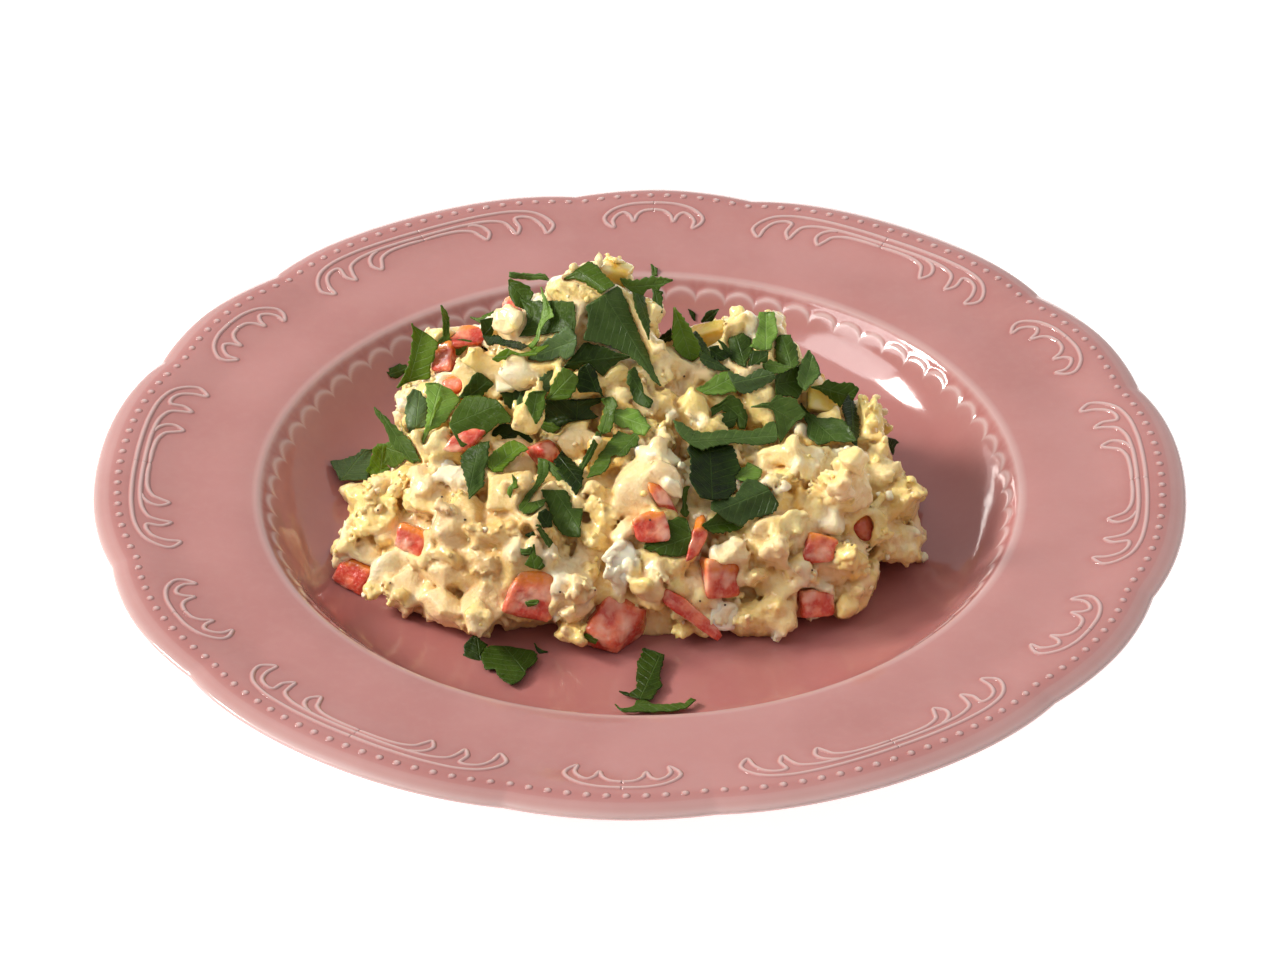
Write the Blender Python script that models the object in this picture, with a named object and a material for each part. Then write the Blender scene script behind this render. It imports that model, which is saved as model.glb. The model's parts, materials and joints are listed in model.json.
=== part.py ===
"""Chicken and cheese salad heaped on a dinner plate with a scalloped rim, with chopped parsley on it.

Sizes below are in millimetres. The plate stands on z = 0 with its middle at the origin, and the front is -Y.
"""

import math
import random

import bmesh
import bpy
import numpy as np
from mathutils import Matrix, Vector
from mathutils.bvhtree import BVHTree

MM = 0.001
GAP = 0.3
SEED = 41

PLATE_DIAMETER = 271.6
FOOT_OUTER_RADIUS = 71.5
FOOT_INNER_RADIUS = 67.5
FLOOR_HEIGHT = 6.0
FLOOR_RADIUS = 72.0
LIP_RADIUS = 95.5
LOBES = 6
LONG_LOBE_MIDDLE = 57.0
LONG_LOBE_HALF = 19.5
LONG_LOBE_DEPTH = 2.1
SHORT_LOBE_HALF = 10.5
SHORT_LOBE_RADIUS = 135.35
DIP_RADIUS = PLATE_DIAMETER / 2 - LONG_LOBE_DEPTH
DIP_DROP = 0.8
SEGMENTS = 60

# The upper face of the plate from the floor to the edge, as radius and height.
UPPER = [(40, 6.0), (FLOOR_RADIUS, 6.0), (79, 7.6), (84.5, 10.6), (89, 15.0), (92.5, 19.6), (LIP_RADIUS, 22.0)]
RIM_UPPER = [(116, 23.8), (130, 26.0), (134.2, 25.1)]
EDGE = (135.8, 24.2)
RIM_LOWER = [(134.4, 22.8), (116, 20.1)]
LOWER = [(98, 17.6), (90, 11.0), (82, 5.2), (75, 2.4), (FOOT_OUTER_RADIUS, 0.0), (FOOT_INNER_RADIUS, 0.0), (64, 2.0)]

# The bare heap: rounded lumps as name, middle x and y, half widths and height over the plate's floor.
LUMPS = [
    ("body", -1, 6, 62, 47, 34),
    ("peak", -13, 20, 30, 27, 63),
    ("crest", 3, 8, 30, 30, 43),
    ("right_lobe", 28, 18, 29, 25, 48),
    ("right_shoulder", 51, 2, 18, 24, 31),
    ("left_shoulder", -38, 4, 25, 25, 39),
    ("back_left", -42, 25, 21, 20, 42),
    ("left_foot", -54, -13, 19, 17, 22),
    ("front_left", -28, -19, 32, 25, 31),
    ("front", 4, -21, 34, 24, 33),
    ("front_right", 34, -17, 25, 24, 29),
]
BLEND = 0.3
HEAP_MIDDLE = (-2.0, -2.0)
HEAP_SIDES = 40
HEAP_RINGS = (0.25, 0.48, 0.68, 0.84, 0.95, 0.99)

LEAF_THICKNESS = 0.5
LEAF_STATIONS = 7

# Half widths of the left and right side of a cut leaf from its first end to its last.
LEAF_KINDS = {
    "blade": ((0.62, 0.92, 1.0, 0.93, 0.74, 0.45, 0.08), (0.70, 0.98, 1.0, 0.88, 0.66, 0.38, 0.08)),
    "oval": ((0.14, 0.66, 0.95, 1.0, 0.90, 0.60, 0.10), (0.14, 0.60, 0.92, 1.0, 0.94, 0.66, 0.10)),
    "shard": ((0.80, 1.0, 1.0, 0.95, 0.90, 0.80, 0.62), (0.55, 0.85, 1.0, 1.0, 0.92, 0.80, 0.70)),
    "strip": ((0.80, 1.0, 0.90, 1.0, 0.90, 1.0, 0.60), (0.70, 0.90, 1.0, 0.90, 1.0, 0.86, 0.50)),
    "kite": ((0.08, 0.50, 0.95, 0.85, 0.60, 0.35, 0.08), (0.08, 0.40, 0.80, 1.0, 0.72, 0.40, 0.08)),
    "lobed": ((0.18, 0.80, 0.58, 1.0, 0.70, 0.82, 0.12), (0.14, 0.60, 0.92, 0.62, 0.96, 0.50, 0.14)),
    "trefoil": ((0.10, 0.34, 0.92, 1.0, 0.62, 0.78, 0.34), (0.10, 0.40, 1.0, 0.90, 0.58, 0.74, 0.30)),
    "sail": ((1.0, 0.92, 0.80, 0.64, 0.46, 0.25, 0.06), (0.25, 0.76, 0.72, 0.60, 0.44, 0.26, 0.06)),
    "wing": ((0.14, 0.34, 0.54, 0.62, 0.56, 0.40, 0.12), (0.14, 0.62, 1.0, 0.72, 0.46, 0.28, 0.12)),
    "sprig": ((0.12, 0.14, 0.16, 0.30, 0.95, 0.70, 0.10), (0.12, 0.12, 0.14, 0.20, 0.45, 0.60, 0.10)),
    "fan": ((0.12, 0.40, 0.66, 0.90, 1.0, 1.0, 0.60), (0.12, 0.34, 0.62, 0.80, 0.92, 1.0, 0.66)),
    "wedge": ((1.0, 0.95, 0.80, 0.62, 0.42, 0.24, 0.08), (0.90, 1.0, 0.86, 0.66, 0.46, 0.24, 0.08)),
}

# Each leaf: kind, first end x, y and lift, last end x, y and lift, width, facing, arch and fold. The ends are over
# the bare heap or the plate. A facing of 0 lies along the surface, and any other turns the face to that bearing.
LEAVES = [
    ("blade", -18, 4, 0, -5, 5, 0, 9, 0, 0.05, 0.10),
    ("shard", -20, -13, 0, -14, -24, 0, 7, 0, 0.05, 0.10),
    ("strip", -4, -9, 0, -12, -20, 0, 6, 0, 0.05, 0.20),
    ("shard", 34, 8, 0, 41, 6, 0, 7.5, 0, 0.05, 0.10),
    ("shard", 11, -7, 0, 20, -25, 0, 11, 0, 0.08, 0.08),
    ("shard", -22, -1, 0, -9, 0, 0, 8, 0, 0.05, 0.10),
    ("strip", -38, 23, 0, -28, 10, 0, 3.6, 0, 0.05, 0.10),
    ("shard", -28, 12, 0, -16, 13, 0, 9, 0, 0.10, 0.10),
    ("lobed", -25, 5, 0, -15, 7, 0, 8.5, 0, 0.05, 0.12),
    ("sail", -11, 16, 0, 4, 3, 0, 16.5, 0, 0.03, 0.05),
    ("wing", -12.5, 23, 2, -10.5, 16, 0, 12, -95, 0.03, 0.10),
    ("strip", -23.5, 20, 0, -25, 7, 0, 3, 0, 0.05, 0.20),
    ("shard", -32, 25, 8, -23, 25, 2, 3, -80, 0.05, 0.10),
    ("wedge", -28, 23, 4, -27.5, 19, -1, 8, -100, 0.05, 0.10),
    ("oval", -15, 2, 0, -10, -1, 0, 7, 0, 0.20, -0.35),
    ("shard", -18.5, 3, 0, -20.5, 0, 0, 10, 0, 0.05, -0.35),
    ("kite", -44.5, 6, 0, -36.5, 7, 0, 8, -85, 0.05, 0.10),
    ("shard", -37, 1, 0, -43, -10, 0, 13, 0, 0.08, 0.06),
    ("shard", -24.5, 0, 0, -26.5, -6, 0, 5.5, -90, 0.05, 0.10),
    ("strip", -5.5, -3, 0, -8.5, -10, 0, 4, 0, 0.10, 0.15),
    ("oval", -54, 12, 8, -56, 4, 1, 6, -105, 0.05, 0.10),
    ("blade", -47, 11, 0, -51, -6, 0, 7.5, -100, 0.05, -0.20),
    ("shard", -53, 20, -1, -52, 23, 8, 7, -95, 0.05, 0.10),
    ("sprig", -48, 24, 13, -47, 23, 0, 8, -90, 0.05, 0.10),
    ("blade", -37, 24, 4, -38, 22, -1, 4.5, -85, 0.05, 0.30),
    ("blade", -54, -5, 1, -65, 5, 34, 5, -110, 0.05, 0.20),
    ("shard", -55, -2, 0, -61, 5, 9, 6.5, -100, 0.05, 0.10),
    ("lobed", -65, 20, 1, -64, 24, 11, 6.5, -100, 0.05, 0.15),
    ("lobed", -79, 24, 1, -68, 24, 3, 12, 0, 0.05, 0.08),
    ("blade", -38, -10, 0, -42, -22, 0, 6.5, 0, 0.05, -0.30),
    ("shard", -37, -16, 0, -28.5, -14, 0, 7, 0, 0.05, 0.10),
    ("strip", -24, -15, 0, -29, -29, 0, 3.4, 0, 0.05, 0.20),
    ("shard", -20, -26, 0, -17, -34, 0, 8, 0, 0.08, 0.12),
    ("strip", -3.5, 22, 0, 1, 12, 0, 4.5, 0, 0.05, 0.20),
    ("lobed", -5, 24, 2, 8, 24, 14, 6.5, -90, 0.06, 0.20),
    ("blade", -1.5, 3, 0, 2.5, -4, 0, 6.5, 0, 0.06, -0.30),
    ("blade", 14.5, 21, 0, 18, 14, 0, 4, 0, 0.05, 0.20),
    ("blade", 13, 15, 0, 9, 19, 9, 7, -90, 0.05, 0.25),
    ("shard", 22, 15, 0, 28, 10, 0, 8, 0, 0.08, 0.15),
    ("shard", 31, 14, 0, 31, 21, 3, 7, -90, 0.08, 0.25),
    ("lobed", 37, 10, -1, 36, 16, 0, 6.5, -90, 0.05, 0.10),
    ("blade", 40, 7, 0, 42, 15, 1, 7, -90, 0.05, 0.12),
    ("oval", 15, 4, 0, 23, 6, 0, 6.5, 0, 0.05, 0.12),
    ("shard", 22.5, 4, 0, 34, 7, 0, 5.5, 0, 0.06, 0.12),
    ("oval", 18, 1, 0, 27, -1, 0, 7.5, 0, 0.22, -0.10),
    ("blade", 36.5, 4, 0, 34.5, -3, 0, 10, 0, 0.05, 0.10),
    ("strip", 52, 12, 1, 53, -2, 0, 4.5, 0, 0.06, 0.15),
    ("blade", 41.5, -1, 0, 53, -4, 0, 9.5, 0, 0.06, 0.10),
    ("shard", 40.5, 8, 0, 52, 8, 1, 6, -80, 0.10, 0.25),
    ("strip", 8, -9, 0, 33, -7, 0, 5.2, 0, 0.04, 0.12),
    ("oval", 22, -16, 0, 31, -19, 0, 6.5, 0, 0.06, 0.12),
    ("oval", 18, -27, 0, 34, -26, 0, 12, 0, 0.06, 0.10),
    ("oval", -6.5, -7, 0, 3.5, -9, 0, 7.5, 0, 0.12, 0.10),
    ("fan", 10.5, -32, 0, 6, -39, 0, 12.5, 0, 0.06, 0.08),
    ("oval", 13, -32, 0, 25, -31, 0, 5.5, 0, 0.05, 0.10),
    ("trefoil", -43, -50, 1, -24, -57, 1, 15, 0, 0.06, 0.06),
    ("strip", 2, -52, 2, 2, -67, 1, 6, 0, 0.06, 0.10),
    ("lobed", -6, -72, 1, 14, -71, 1, 6, 0, 0.05, 0.10),
]

# The larger pieces of salad: kind, x, y, lift over the bare heap, three sizes, turn and tilt.
PIECES = [
    ("lump", -18, 20, 0, 12, 10, 9, 20, 0),
    ("kernel", -5.5, 25, 2, 9, 8, 9, 0, 0),
    ("lump", -31, 24, 1, 9, 9, 12, 15, 10),
    ("slab", -41, 20, 1, 12, 8, 5, -10, 5),
    ("dice", -32, 8, 0, 9, 8, 7, 10, 0),
    ("lump", -52, 25, 1, 9, 8, 9, 0, 0),
    ("lump", -43, 26, 1, 12, 8, 8, 0, 0),
    ("lump", -57, 14, 1, 9, 12, 12, 0, 0),
    ("lump", -24, 6, 0, 11, 8, 6, 30, 0),
    ("dice", -46, 15, 0, 6, 5, 5, 40, 0),
    ("dice", -69, -25, 2, 13, 10, 13, 30, 15),
    ("dice", -56, -25, 1, 8, 8, 7, 15, 20),
    ("dice", -28, -43, 4, 13, 10, 11, 8, 10),
    ("dice", -7, -49, 5, 13, 11, 12, 35, 20),
    ("dice", 20, -41, 2, 11, 9, 11, 25, -10),
    ("slab", 45, -32, 1, 9, 7, 7, 10, 10),
    ("dice", 43, -41, 3, 9, 7, 8, 0, 0),
    ("shred", 10, -43, 4, 18, 5, 5, -12, 15),
    ("slab", 3, -36, 1, 8, 6, 5, 0, 0),
    ("slab", -24, -9, 0, 8, 9, 5, 20, 0),
    ("slab", -44, -8, 1, 8, 7, 5, 0, 20),
    ("kernel", 18, 21, 1, 9, 8, 8, 20, 0),
    ("lump", 26, 24, 1, 12, 9, 9, 0, 0),
    ("kernel", 36, 25, 1, 8, 7, 8, 0, 0),
    ("kernel", 47, 7, 1, 9, 8, 7, 10, 0),
    ("dice", 31, 0, 0, 7, 7, 7, 30, 0),
    ("lump", -32, -22, 1, 13, 10, 7, 0, 0),
    ("slab", -27, -37, 1, 14, 8, 8, -15, 0),
    ("lump", 33, -43, 3, 12, 9, 10, 0, 0),
    ("dice", 19, -46, 3, 9, 7, 7, 20, 0),
    ("slab", -49, -11, 1, 9, 8, 6, 10, 0),
    ("slab", -1, -40, 1, 10, 7, 10, 0, 0),
    ("slab", 3, -15, 1, 11, 9, 4, 15, 0),
    ("lump", -12, -22, 1, 9, 11, 7, 0, 0),
    ("lump", -49, -34, 2, 13, 11, 13, 10, 0),
    ("lump", -59, -30, 2, 12, 10, 14, 0, 0),
    ("lump", 12, 9, 0, 15, 10, 7, 20, 0),
    ("lump", -5, -27, 1, 17, 12, 9, -10, 0),
    ("lump", -13, -38, 1, 11, 9, 8, 0, 0),
    ("shred", -69, -14, 2, 15, 5, 5, 35, 10),
    ("shred", -67, -7, 2, 10, 5, 5, 15, 10),
    ("slab", -60, -12, 1, 12, 8, 5, 20, 10),
    ("slab", 57, -16, 1, 15, 8, 5, -30, 10),
    ("lump", 45, -12, 0, 16, 11, 8, 0, 0),
    ("lump", 60, 0, 1, 13, 15, 14, 0, 0),
    ("lump", 64, -10, 2, 11, 11, 14, 0, 0),
    ("lump", 55, -30, 3, 12, 11, 13, 0, 0),
    ("lump", 38, -30, 1, 13, 10, 9, 10, 0),
    ("slab", 27, -31, 1, 12, 8, 7, 0, 0),
    ("lump", 7, 1, 1, 12, 9, 8, 0, 0),
    ("lump", -2, 4, 1, 9, 8, 7, 0, 0),
    ("lump", 15, -2, 0, 11, 9, 7, 0, 0),
    ("lump", -40, -25, 1, 13, 9, 9, 0, 0),
    ("lump", 50, 13, 1, 10, 11, 10, 0, 0),
    ("lump", 30, 30, 2, 11, 10, 10, 0, 0),
    ("lump", 12, 30, 2, 12, 10, 10, 0, 0),
    ("lump", -8, 38, 2, 12, 10, 12, 0, 0),
    ("lump", -28, 38, 2, 12, 10, 12, 0, 0),
    ("lump", -41, -37, 2, 12, 9, 11, 0, 0),
    ("lump", -36, -41, 3, 10, 8, 10, 0, 0),
    ("lump", -17, -43, 3, 12, 10, 12, 0, 0),
    ("lump", -16, -47, 5, 11, 8, 8, 0, 0),
    ("lump", 3, -44, 3, 12, 10, 13, 0, 0),
    ("lump", 28, -45, 3, 9, 8, 9, 0, 0),
    ("lump", 47, -36, 3, 11, 9, 12, 0, 0),
    ("lump", 10, -38, 1, 10, 8, 9, 0, 0),
    ("dice", -8, 0, 0, 3, 8, 1.2, 20, 0),
    ("dice", -32, -5, 0, 9, 4, 1.2, 0, 0),
    ("dice", -23, -6, 1, 8, 2.5, 1.2, -15, 0),
    ("dice", -31, 9, 1, 10, 2.5, 1.2, -30, 0),
    ("dice", -30, 5, 1, 8, 2.5, 1.2, 10, 0),
    ("dice", -47, 3, 1, 3, 8, 1.2, 0, 0),
    ("dice", -20.5, -18, 1, 8, 3, 1.2, -50, 0),
    ("dice", -15, -30, 1, 5, 2.5, 1.2, 80, 0),
    ("dice", 20, -3, 1, 8, 4, 1.2, 10, 0),
    ("dice", 34, 12, 1, 7, 2.5, 1.2, -10, 0),
    ("dice", 30, 3, 1, 7, 2.5, 1.2, 10, 0),
    ("dice", 10.5, -28, 1, 2.5, 9, 1.2, 0, 0),
    ("dice", 7, 14, 1, 5, 3.5, 1.2, 40, 0),
    ("dice", 63, 5, 1, 4, 3, 1.2, 0, 0),
    ("dice", -22, -33, 1, 7, 2, 2, -55, 0),
    ("dice", -32, -19, 3, 5, 2, 1.2, 70, 0),
    ("dice", -26, -39, 4, 5, 3, 1.2, 60, 0),
]
FILL_COUNT = 74
FILL_SIZES = (8.0, 12.0)
FILL_SPACING = 9.0
VIEW_SIDE = np.array((0.0, -0.82, 0.57))

COLOURS = {
    "plate": ((0.60, 0.29, 0.27), 0.15),
    "salad_heap": ((0.80, 0.62, 0.34), 0.45),
    "parsley": ((0.045, 0.13, 0.03), 0.45),
}


def clear_scene():
    """Remove what the new file holds."""
    for thing in list(bpy.data.objects):
        bpy.data.objects.remove(thing, do_unlink=True)


def material(name):
    """A plain finish in this name's colour."""
    found = bpy.data.materials.get(name)
    if found:
        return found
    colour, roughness = COLOURS[name]
    made = bpy.data.materials.new(name)
    made.use_nodes = True
    shader = made.node_tree.nodes["Principled BSDF"]
    shader.inputs["Base Color"].default_value = (*colour, 1.0)
    shader.inputs["Roughness"].default_value = roughness
    return made


def add_object(name, points, faces, finish, smooth):
    """A mesh object from points in millimetres."""
    mesh = bpy.data.meshes.new(name)
    mesh.from_pydata([tuple(float(c) * MM for c in p) for p in points], [], faces)
    mesh.materials.append(material(finish))
    made = bpy.data.objects.new(name, mesh)
    bpy.context.scene.collection.objects.link(made)
    for polygon in mesh.polygons:
        polygon.use_smooth = smooth
    return made


def face_outward(thing):
    """Turn every face of a closed mesh to the outside."""
    work = bmesh.new()
    work.from_mesh(thing.data)
    bmesh.ops.recalc_face_normals(work, faces=work.faces)
    if work.calc_volume(signed=True) < 0:
        bmesh.ops.reverse_faces(work, faces=work.faces)
    work.to_mesh(thing.data)
    work.free()


def outline_radius(bearing):
    """The edge's radius at a bearing in degrees: long lobes, short lobes and the dips between them."""
    sector = 360.0 / LOBES
    off = abs((bearing - LONG_LOBE_MIDDLE + sector / 2) % sector - sector / 2)
    if off <= LONG_LOBE_HALF:
        return PLATE_DIAMETER / 2 - LONG_LOBE_DEPTH * (off / LONG_LOBE_HALF) ** 3.5
    rest = (sector / 2 - off) / SHORT_LOBE_HALF
    return SHORT_LOBE_RADIUS - (SHORT_LOBE_RADIUS - DIP_RADIUS) * rest**1.7


def ring(radius, height, count, shift):
    """One level ring of the plate, which follows the scalloped edge more the nearer it lies to it."""
    share = min(max((radius - 104.0) / (EDGE[0] - 104.0), 0.0), 1.0)
    points = []
    for i in range(count):
        bearing = shift + 360.0 * i / count
        inset = PLATE_DIAMETER / 2 - outline_radius(bearing)
        reach = radius - share * inset
        low = share * DIP_DROP * inset / LONG_LOBE_DEPTH
        angle = math.radians(bearing)
        points.append((reach * math.cos(angle), reach * math.sin(angle), height - low))
    return points


def stitch(start_a, count_a, start_b, count_b):
    """Faces between two rings of equal count, or of which one has twice as many."""
    faces = []
    if count_a == count_b:
        for i in range(count_a):
            j = (i + 1) % count_a
            faces.append((start_a + i, start_a + j, start_b + j, start_b + i))
        return faces
    few, many = (start_a, start_b) if count_a < count_b else (start_b, start_a)
    count = min(count_a, count_b)
    for i in range(count):
        j = (i + 1) % count
        middle = many + 2 * i + 1
        faces.append((few + i, many + 2 * i, middle))
        faces.append((few + i, middle, few + j))
        faces.append((few + j, middle, many + 2 * j))
    return faces


def build_plate():
    """The whole plate as one turned solid with a scalloped rim."""
    shift = 1.5
    profile = [(r, z, SEGMENTS) for r, z in UPPER]
    profile += [(r, z, 2 * SEGMENTS) for r, z in RIM_UPPER + [EDGE] + RIM_LOWER]
    profile += [(r, z, SEGMENTS) for r, z in LOWER]
    points = [(0.0, 0.0, FLOOR_HEIGHT)]
    starts = []
    for radius, height, count in profile:
        starts.append(len(points))
        points += ring(radius, height, count, shift)
    faces = []
    for i in range(SEGMENTS):
        faces.append((0, starts[0] + i, starts[0] + (i + 1) % SEGMENTS))
    for k in range(len(profile) - 1):
        faces += stitch(starts[k], profile[k][2], starts[k + 1], profile[k + 1][2])
    under = len(points)
    points.append((0.0, 0.0, LOWER[-1][1]))
    for i in range(SEGMENTS):
        faces.append((under, starts[-1] + (i + 1) % SEGMENTS, starts[-1] + i))
    plate = add_object("plate", points, faces, "plate", True)
    face_outward(plate)
    return plate


def plate_height(x, y):
    """The plate's upper face at a place inside the rim."""
    radii, heights = zip(*([(0.0, FLOOR_HEIGHT)] + UPPER + RIM_UPPER))
    return np.interp(np.hypot(x, y), radii, heights)


def heap_height(x, y):
    """The bare heap's height at a place, far below the floor outside it."""
    x = np.asarray(x, float)
    y = np.asarray(y, float)
    total = np.zeros(np.broadcast(x, y).shape)
    for _, middle_x, middle_y, half_x, half_y, tall in LUMPS:
        away = ((x - middle_x) / half_x) ** 2 + ((y - middle_y) / half_y) ** 2
        inside = tall * np.sqrt(np.maximum(1.0 - away, 0.0))
        outside = -2.0 * tall * (np.sqrt(np.maximum(away, 1.0)) - 1.0)
        total = total + np.exp(np.clip(BLEND * np.where(away < 1.0, inside, outside), -40.0, 40.0))
    return FLOOR_HEIGHT + np.log(total) / BLEND


def surface(x, y):
    """The bare heap or the plate, whichever is higher."""
    return np.maximum(heap_height(x, y), plate_height(x, y))


def surface_normal(x, y):
    """The way the surface faces, over a span of a few millimetres."""
    step = 2.0
    slope_x = float(surface(x + step, y) - surface(x - step, y)) / (2 * step)
    slope_y = float(surface(x, y + step) - surface(x, y - step)) / (2 * step)
    normal = np.array((-slope_x, -slope_y, 1.0))
    return normal / np.linalg.norm(normal)


def foot_reach(bearing):
    """How far the bare heap's foot lies from its middle at a bearing in radians."""
    reach = np.arange(20.0, 90.0, 0.25)
    x = HEAP_MIDDLE[0] + reach * math.cos(bearing)
    y = HEAP_MIDDLE[1] + reach * math.sin(bearing)
    inside = heap_height(x, y) > plate_height(x, y) + 1.0
    return float(reach[inside].max())


def build_core():
    """The bare heap as rings from its top to its foot, closed below just over the plate."""
    points = [(*HEAP_MIDDLE, float(heap_height(*HEAP_MIDDLE)))]
    faces = []
    bearings = [2 * math.pi * i / HEAP_SIDES for i in range(HEAP_SIDES)]
    reaches = [foot_reach(b) for b in bearings]
    levels = [(share, "top") for share in HEAP_RINGS] + [(1.0, "foot"), (0.6, "foot")]
    for share, level in levels:
        for bearing, reach in zip(bearings, reaches):
            x = HEAP_MIDDLE[0] + share * reach * math.cos(bearing)
            y = HEAP_MIDDLE[1] + share * reach * math.sin(bearing)
            low = float(plate_height(x, y)) + GAP
            high = max(float(heap_height(x, y)), low + 0.8)
            points.append((x, y, high if level == "top" else low))
    for i in range(HEAP_SIDES):
        faces.append((0, 1 + i, 1 + (i + 1) % HEAP_SIDES))
    for k in range(len(levels) - 1):
        faces += stitch(1 + k * HEAP_SIDES, HEAP_SIDES, 1 + (k + 1) * HEAP_SIDES, HEAP_SIDES)
    under = len(points)
    points.append((*HEAP_MIDDLE, float(plate_height(*HEAP_MIDDLE)) + GAP))
    last = 1 + (len(levels) - 1) * HEAP_SIDES
    for i in range(HEAP_SIDES):
        faces.append((under, last + (i + 1) % HEAP_SIDES, last + i))
    core = add_object("salad_heap", points, faces, "salad_heap", False)
    face_outward(core)
    work = bmesh.new()
    work.from_mesh(core.data)
    bmesh.ops.triangulate(work, faces=work.faces)
    work.to_mesh(core.data)
    work.free()
    return core


def leaf_points(leaf, grow):
    """A leaf's points in two layers, as millimetres, wider and thicker all round by grow."""
    kind, ax, ay, al, bx, by, bl, width, facing, arch, fold = leaf
    first = np.array((ax, ay, float(surface(ax, ay)) + al))
    last = np.array((bx, by, float(surface(bx, by)) + bl))
    along = last - first
    length = float(np.linalg.norm(along))
    along /= length
    if facing:
        toward = np.array((math.cos(math.radians(facing)), math.sin(math.radians(facing)), 0.35))
    else:
        toward = surface_normal(0.5 * (ax + bx), 0.5 * (ay + by))
    side = np.cross(along, toward)
    side /= np.linalg.norm(side)
    normal = np.cross(side, along)
    left, right = LEAF_KINDS[kind]
    layers = ([], [])
    for i in range(LEAF_STATIONS):
        share = i / (LEAF_STATIONS - 1)
        reach = share * (length + 2 * grow) - grow
        rise = 4.0 * arch * share * (1.0 - share) * length
        for edge, half in ((-1, left[i]), (0, 0.0), (1, right[i])):
            wide = 0.5 * width * half + grow
            place = first + along * reach + side * edge * wide + normal * (rise - fold * wide * abs(edge))
            layers[0].append(place + normal * (0.5 * LEAF_THICKNESS + grow))
            layers[1].append(place - normal * (0.5 * LEAF_THICKNESS + grow))
    return layers[0] + layers[1]


def leaf_faces():
    """Faces of a leaf: two layers cut into the same triangles, and the edge between them."""
    half = 3 * LEAF_STATIONS
    faces = []
    rim = [3 * i for i in range(LEAF_STATIONS)]
    rim += [3 * (LEAF_STATIONS - 1) + 1]
    rim += [3 * i + 2 for i in reversed(range(LEAF_STATIONS))]
    rim += [1]
    for i in range(LEAF_STATIONS - 1):
        for j in range(2):
            a, b = 3 * i + j, 3 * i + j + 1
            c, d = a + 3, b + 3
            pair = ((a, b, d), (a, d, c)) if j else ((a, b, c), (b, d, c))
            for triangle in pair:
                faces.append(triangle)
                faces.append(tuple(half + v for v in reversed(triangle)))
    for a, b in zip(rim, rim[1:] + rim[:1]):
        faces.append((a, b, half + b))
        faces.append((a, half + b, half + a))
    return faces


def tree_of(points, faces):
    """A search tree of a mesh in millimetres."""
    return BVHTree.FromPolygons([tuple(p) for p in points], faces)


def tree_of_object(thing):
    """A search tree of an object in millimetres."""
    points = [tuple(v.co / MM) for v in thing.data.vertices]
    return BVHTree.FromPolygons(points, [tuple(p.vertices) for p in thing.data.polygons])


def settle_leaves(core, plate):
    """Put each leaf down on the bare heap, the plate or the leaves below it, clear of all three."""
    faces = leaf_faces()
    below = [tree_of_object(core), tree_of_object(plate)]
    settled = []
    for number, leaf in enumerate(LEAVES, 1):
        middle_x = 0.5 * (leaf[1] + leaf[4])
        middle_y = 0.5 * (leaf[2] + leaf[5])
        away = surface_normal(middle_x, middle_y) + np.array((0.0, 0.0, 0.6))
        away /= np.linalg.norm(away)
        thick = np.array(leaf_points(leaf, GAP))
        for step in range(150):
            shift = away * (0.2 * step - 1.4)
            lowered = thick + shift
            if np.any(lowered[:, 2] < surface(lowered[:, 0], lowered[:, 1])):
                continue
            trial = tree_of(lowered, faces)
            if not any(trial.overlap(other) for other in below):
                break
        points = np.array(leaf_points(leaf, 0.0)) + shift
        made = add_object(f"parsley_{number:02d}", points, faces, "parsley", False)
        face_outward(made)
        below.append(tree_of(points, faces))
        settled.append((points, thick + shift))
    return settled


def piece_points(kind, rng):
    """Corner points of one piece of salad inside a unit box."""
    if kind == "dice":
        corners = [(x, y, z) for x in (-0.5, 0.5) for y in (-0.5, 0.5) for z in (-0.5, 0.5)]
        return [tuple(c * rng.uniform(0.8, 1.05) for c in p) for p in corners]
    if kind == "slab":
        points = []
        for i in range(6):
            angle = math.radians(60 * i + rng.uniform(-12, 12))
            reach = rng.uniform(0.42, 0.56)
            for z in (-0.5, 0.5):
                shrink = rng.uniform(0.85, 1.0)
                points.append((reach * shrink * math.cos(angle), reach * shrink * math.sin(angle), z))
        return points
    if kind == "shred":
        points = []
        for x, girth in ((-0.5, 0.6), (-0.2, 1.0), (0.2, 1.0), (0.5, 0.6)):
            for y in (-0.5, 0.5):
                for z in (-0.5, 0.5):
                    points.append((x, y * girth * rng.uniform(0.8, 1.1), z * girth * rng.uniform(0.8, 1.1)))
        return points
    if kind == "kernel":
        points = []
        for z, girth in ((-0.5, 0.22), (0.05, 0.48), (0.36, 0.42), (0.5, 0.2)):
            for i in range(6):
                angle = math.radians(60 * i + 15)
                points.append((girth * math.cos(angle), girth * math.sin(angle), z))
        return points
    points = []
    for i in range(10):
        z = 1.0 - 2.0 * (i + 0.5) / 10
        angle = 2.39996 * i
        reach = math.sqrt(1.0 - z * z)
        size = 0.5 * rng.uniform(0.82, 1.12)
        points.append((size * reach * math.cos(angle), size * reach * math.sin(angle), size * z))
    return points


def hull(points):
    """The points and triangles of the closed hull round some points."""
    work = bmesh.new()
    for p in points:
        work.verts.new(p)
    made = bmesh.ops.convex_hull(work, input=work.verts)
    inner = {g for g in made["geom_interior"] + made["geom_unused"] if isinstance(g, bmesh.types.BMVert)}
    bmesh.ops.delete(work, geom=list(inner), context="VERTS")
    bmesh.ops.triangulate(work, faces=work.faces)
    work.verts.index_update()
    result = [tuple(v.co) for v in work.verts], [tuple(v.index for v in f.verts) for f in work.faces]
    work.free()
    return result


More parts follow.
